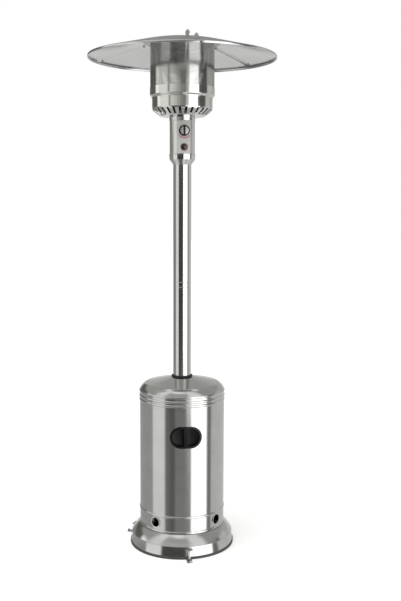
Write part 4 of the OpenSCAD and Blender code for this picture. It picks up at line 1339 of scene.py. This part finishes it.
@dataclass
class Studio:
    """The floor, the light, the surroundings and the camera.

    The camera's place and angle are the photograph's. Azimuths of the surroundings
    count from the camera's side of the object, positive to its right. The rows go from
    the level of the floor up to the one round the zenith.
    """

    azimuth: float = -7.4
    distance: float = 3.7642
    eye_z: float = 1.5171
    pitch: float = -6.519
    yaw: float = -1.2274
    roll: float = 0.2
    frame_height: float = 601.0
    focal_px: float = 863.5
    sensor: float = 24.0
    gain: float = 2.1
    matt_gain: float = 0.65
    floor_half: float = 30.0
    floor_colour: str = "#eeeeec"
    floor_glow: float = 0.3
    lamp_energy: float = 1.35
    lamp_width: float = 62.0
    lamp_aim: tuple[float, float, float] = (0.3, 0.26, -0.95)
    rows: tuple[Row, ...] = (
        Row((Strip(-180, "#b8b8b6"), Strip(-156, "#8e8e8c"), Strip(-86, "#c8c8c6"),
             Strip(-47, "#646462"), Strip(-33, "#565654"), Strip(-19, "#747472"),
             Strip(2, "#767674"), Strip(25, WHITE, 1), Strip(70, "#6a6a68"),
             Strip(85, "#adadab"), Strip(156, "#b8b8b6")), 2.5),
        Row((Strip(-180, "#b8b8b6"), Strip(-156, "#7c7c7a"), Strip(-86, "#d5d5d3"),
             Strip(-46, "#3a3a37"), Strip(12, WHITE, 1), Strip(71, "#606060"),
             Strip(88, "#b0b0ae"), Strip(156, "#b8b8b6")), 2.0, (-12.5, -11.0)),
        Row((Strip(-180, "#a0a09e"), Strip(-160, "#55554f"), Strip(-108, "#e8e8e4"),
             Strip(-92, "#d0d0cd"), Strip(-53, "#7a7a76"), Strip(-46, "#c2c2bb"),
             Strip(-32, "#b2b2ac"), Strip(-20, "#9a9a94"), Strip(-8, "#7f7f7a"),
             Strip(4, "#74746f"), Strip(15, "#a4a4a0"), Strip(25, WHITE, 1),
             Strip(60, "#4c4c4a"), Strip(98, "#adadab"), Strip(125, "#9c9c9a")),
            3.0, (4.6, 6.2)),
        Row((Strip(-180, "#8f8f8c"), Strip(-84, "#cacac8"), Strip(-54, "#a2a2a0"),
             Strip(22, "#cfcfcd"), Strip(62, "#8a8a88"), Strip(110, "#8f8f8c")),
            6.0, (20, 28)),
        Row((Strip(-180, "#8f8f8c"), Strip(-110, "#9a9a98"), Strip(-84, "#d4d4d2"),
             Strip(-54, "#949492"), Strip(22, "#cfcfcd"), Strip(66, "#8a8a88"),
             Strip(110, "#8f8f8c")), 6.0, (40, 50)),
        Row((Strip(-180, "#e4e4e2"), Strip(-105, "#c4c4c2"), Strip(-54, "#dededc"),
             Strip(8, "#c8c8c6"), Strip(66, "#9a9a98"), Strip(105, "#e4e4e2")),
            8.0, (62, 70)))
    overhead: Strip = Strip(-180, "#d8d8d6", 0.9)
    overhead_rise: tuple[float, float] = (83, 88)
    ground: Strip = Strip(-180, "#bebebc")
    ground_rise: tuple[float, float] = (-49, -43)
    underfoot: Row = Row(
        (Strip(-180, "#9c9c9a"), Strip(-58, "#5c5c5a"), Strip(8, "#c4c4c2"),
         Strip(60, "#9c9c9a")), 6.0, (-65, -56))

    def panels(self, tree: bpy.types.NodeTree, turn: bpy.types.NodeSocket,
               row: Row) -> bpy.types.NodeSocket:
        """Draw a row's upright panels with soft edges.

        Args:
            tree: The world's node tree.
            turn: The azimuth as a share of the full turn.
            row: The row.

        Returns:
            Their colour.
        """
        ramp = add_node(tree, "ShaderNodeValToRGB", {"Fac": turn})
        stops = ramp.color_ramp.elements
        stops.remove(stops[1])
        stops[0].position = 0
        stops[0].color = row.strips[0].light()
        for before, strip in zip(row.strips, row.strips[1:]):
            for offset, panel in ((-row.edge, before), (row.edge, strip)):
                stop = stops.new((strip.start + offset + 180) / 360)
                stop.color = panel.light()
        return ramp.outputs[0]

    def blend(self, tree: bpy.types.NodeTree, height: bpy.types.NodeSocket, below: object,
              above: object, limits: tuple[float, float]) -> bpy.types.NodeSocket:
        """Change from one colour to another as the view rises.

        Args:
            tree: The world's node tree.
            height: The elevation in degrees.
            below: The colour below.
            above: The colour above.
            limits: Where the change starts and ends, in degrees.

        Returns:
            The mixed colour.
        """
        share = add_node(tree, "ShaderNodeMapRange", {
            "Value": height, "From Min": limits[0], "From Max": limits[1]},
            interpolation_type="SMOOTHSTEP")
        mixed = add_node(tree, "ShaderNodeMix", {
            "Factor": share.outputs[0], "A": below, "B": above}, data_type="RGBA")
        return mixed.outputs[2]

    def paths(self, tree: bpy.types.NodeTree) -> tuple[object, bpy.types.NodeSocket]:
        """Tell what the camera sees, straight or through something clear, from the rest.

        Args:
            tree: The node tree of the world or of a material.

        Returns:
            The light path's outputs, and 1 for what the camera sees.
        """
        path = add_node(tree, "ShaderNodeLightPath").outputs
        seen = add_node(tree, "ShaderNodeMath", {
            0: path["Is Camera Ray"], 1: path["Is Transmission Ray"]}, operation="MAXIMUM")
        return path, seen.outputs[0]

    def surroundings(self) -> None:
        """Build the world: white to the camera, pale to matt surfaces, panels to metal."""
        world = bpy.data.worlds.new("studio")
        bpy.context.scene.world = world
        world.use_nodes = True
        tree = world.node_tree
        tree.nodes.clear()
        way = add_node(tree, "ShaderNodeTexCoord").outputs["Generated"]
        turned = add_node(tree, "ShaderNodeVectorRotate", {
            "Vector": way, "Axis": (0, 0, 1), "Angle": math.radians(-self.azimuth)},
            rotation_type="AXIS_ANGLE")
        parts = add_node(tree, "ShaderNodeSeparateXYZ", {0: turned.outputs[0]}).outputs
        toward = add_node(tree, "ShaderNodeMath", {0: parts["Y"], 1: -1.0}, operation="MULTIPLY")
        angle = add_node(tree, "ShaderNodeMath", {0: parts["X"], 1: toward.outputs[0]},
                         operation="ARCTAN2")
        turn = add_node(tree, "ShaderNodeMath", {0: angle.outputs[0], 1: 1 / FULL_TURN, 2: 0.5},
                        operation="MULTIPLY_ADD").outputs[0]
        rise = add_node(tree, "ShaderNodeMath", {0: parts["Z"]}, operation="ARCSINE")
        height = add_node(tree, "ShaderNodeMath", {0: rise.outputs[0], 1: 180 / math.pi},
                          operation="MULTIPLY").outputs[0]
        ring = self.panels(tree, turn, self.rows[0])
        for row in self.rows[1:]:
            ring = self.blend(tree, height, ring, self.panels(tree, turn, row), row.rise)
        ring = self.blend(tree, height, ring, self.overhead.light(), self.overhead_rise)
        ring = self.blend(tree, height, self.ground.light(), ring, self.ground_rise)
        ring = self.blend(tree, height, self.panels(tree, turn, self.underfoot), ring,
                          self.underfoot.rise)
        path, seen = self.paths(tree)
        matt = add_node(tree, "ShaderNodeBackground", {
            "Color": linear(WHITE), "Strength": self.matt_gain})
        metal = add_node(tree, "ShaderNodeBackground", {"Color": ring, "Strength": self.gain})
        white = add_node(tree, "ShaderNodeBackground", {"Color": linear(WHITE), "Strength": 1.0})
        lit = add_node(tree, "ShaderNodeMixShader", {
            0: path["Is Glossy Ray"], 1: matt.outputs[0], 2: metal.outputs[0]})
        whole = add_node(tree, "ShaderNodeMixShader", {
            0: seen, 1: lit.outputs[0], 2: white.outputs[0]})
        add_node(tree, "ShaderNodeOutputWorld", {0: whole.outputs[0]})

    def floor(self) -> None:
        """Build the pale floor, which is white to the camera apart from its shadow."""
        made, tree = new_material("studio floor")
        matt = add_node(tree, "ShaderNodeBsdfDiffuse", {"Color": linear(self.floor_colour)})
        seen = self.paths(tree)[1]
        fill = add_node(tree, "ShaderNodeMath", {0: seen, 1: self.floor_glow},
                        operation="MULTIPLY")
        glow = add_node(tree, "ShaderNodeEmission", {
            "Color": linear(WHITE), "Strength": fill.outputs[0]})
        surface = add_node(tree, "ShaderNodeAddShader", {0: matt.outputs[0], 1: glow.outputs[0]})
        close_material(tree, surface)
        half = self.floor_half
        places = [Vector((x, y, 0))
                  for x, y in ((-half, -half), (half, -half), (half, half), (-half, half))]
        floor = mesh_object("studio_floor", places, [(0, 1, 2, 3)], smooth=False)
        floor.visible_glossy = False
        floor.data.materials.append(made)

    def lamp(self) -> None:
        """Hang one wide soft lamp above and to the left."""
        data = bpy.data.lights.new("soft key", "SUN")
        data.energy = self.lamp_energy
        data.angle = math.radians(self.lamp_width)
        lamp = bpy.data.objects.new("soft_key", data)
        lamp.rotation_euler = Vector(self.lamp_aim).to_track_quat("-Z", "Y").to_euler()
        lamp.visible_glossy = False
        bpy.context.scene.collection.objects.link(lamp)

    def camera(self) -> None:
        """Set the camera where the photograph was taken from."""
        data = bpy.data.cameras.new("photograph view")
        data.sensor_fit = "VERTICAL"
        data.sensor_height = self.sensor
        data.lens = self.sensor * self.focal_px / self.frame_height
        data.clip_end = 100
        camera = bpy.data.objects.new("photograph_view", data)
        side = math.radians(self.azimuth)
        camera.location = (self.distance * math.sin(side), -self.distance * math.cos(side),
                           self.eye_z)
        heading = Matrix.Rotation(side + math.radians(self.yaw), 4, "Z")
        lean = Matrix.Rotation(math.radians(90 + self.pitch), 4, "X")
        tilt = Matrix.Rotation(math.radians(self.roll), 4, "Z")
        camera.rotation_euler = (heading @ lean @ tilt).to_euler()
        bpy.context.scene.collection.objects.link(camera)
        bpy.context.scene.camera = camera

    def build(self) -> None:
        """Build the whole studio."""
        self.camera()
        self.surroundings()
        self.floor()
        self.lamp()
        bpy.context.scene.view_settings.view_transform = "Standard"
        LOG.info("studio")


def main() -> None:
    """Build the heater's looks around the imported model."""
    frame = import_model()
    shop = Workshop(frame)
    Studio().build()
    for assembly in (Base(), BottleHousing(), Pole(), ControlHead(), BurnerHead(), Reflector()):
        assembly.build(shop)
        LOG.info("%s done", type(assembly).__name__)
    bpy.context.view_layer.update()


if __name__ == "__main__":
    logging.basicConfig(level=logging.INFO, format="%(name)s: %(message)s")
    main()
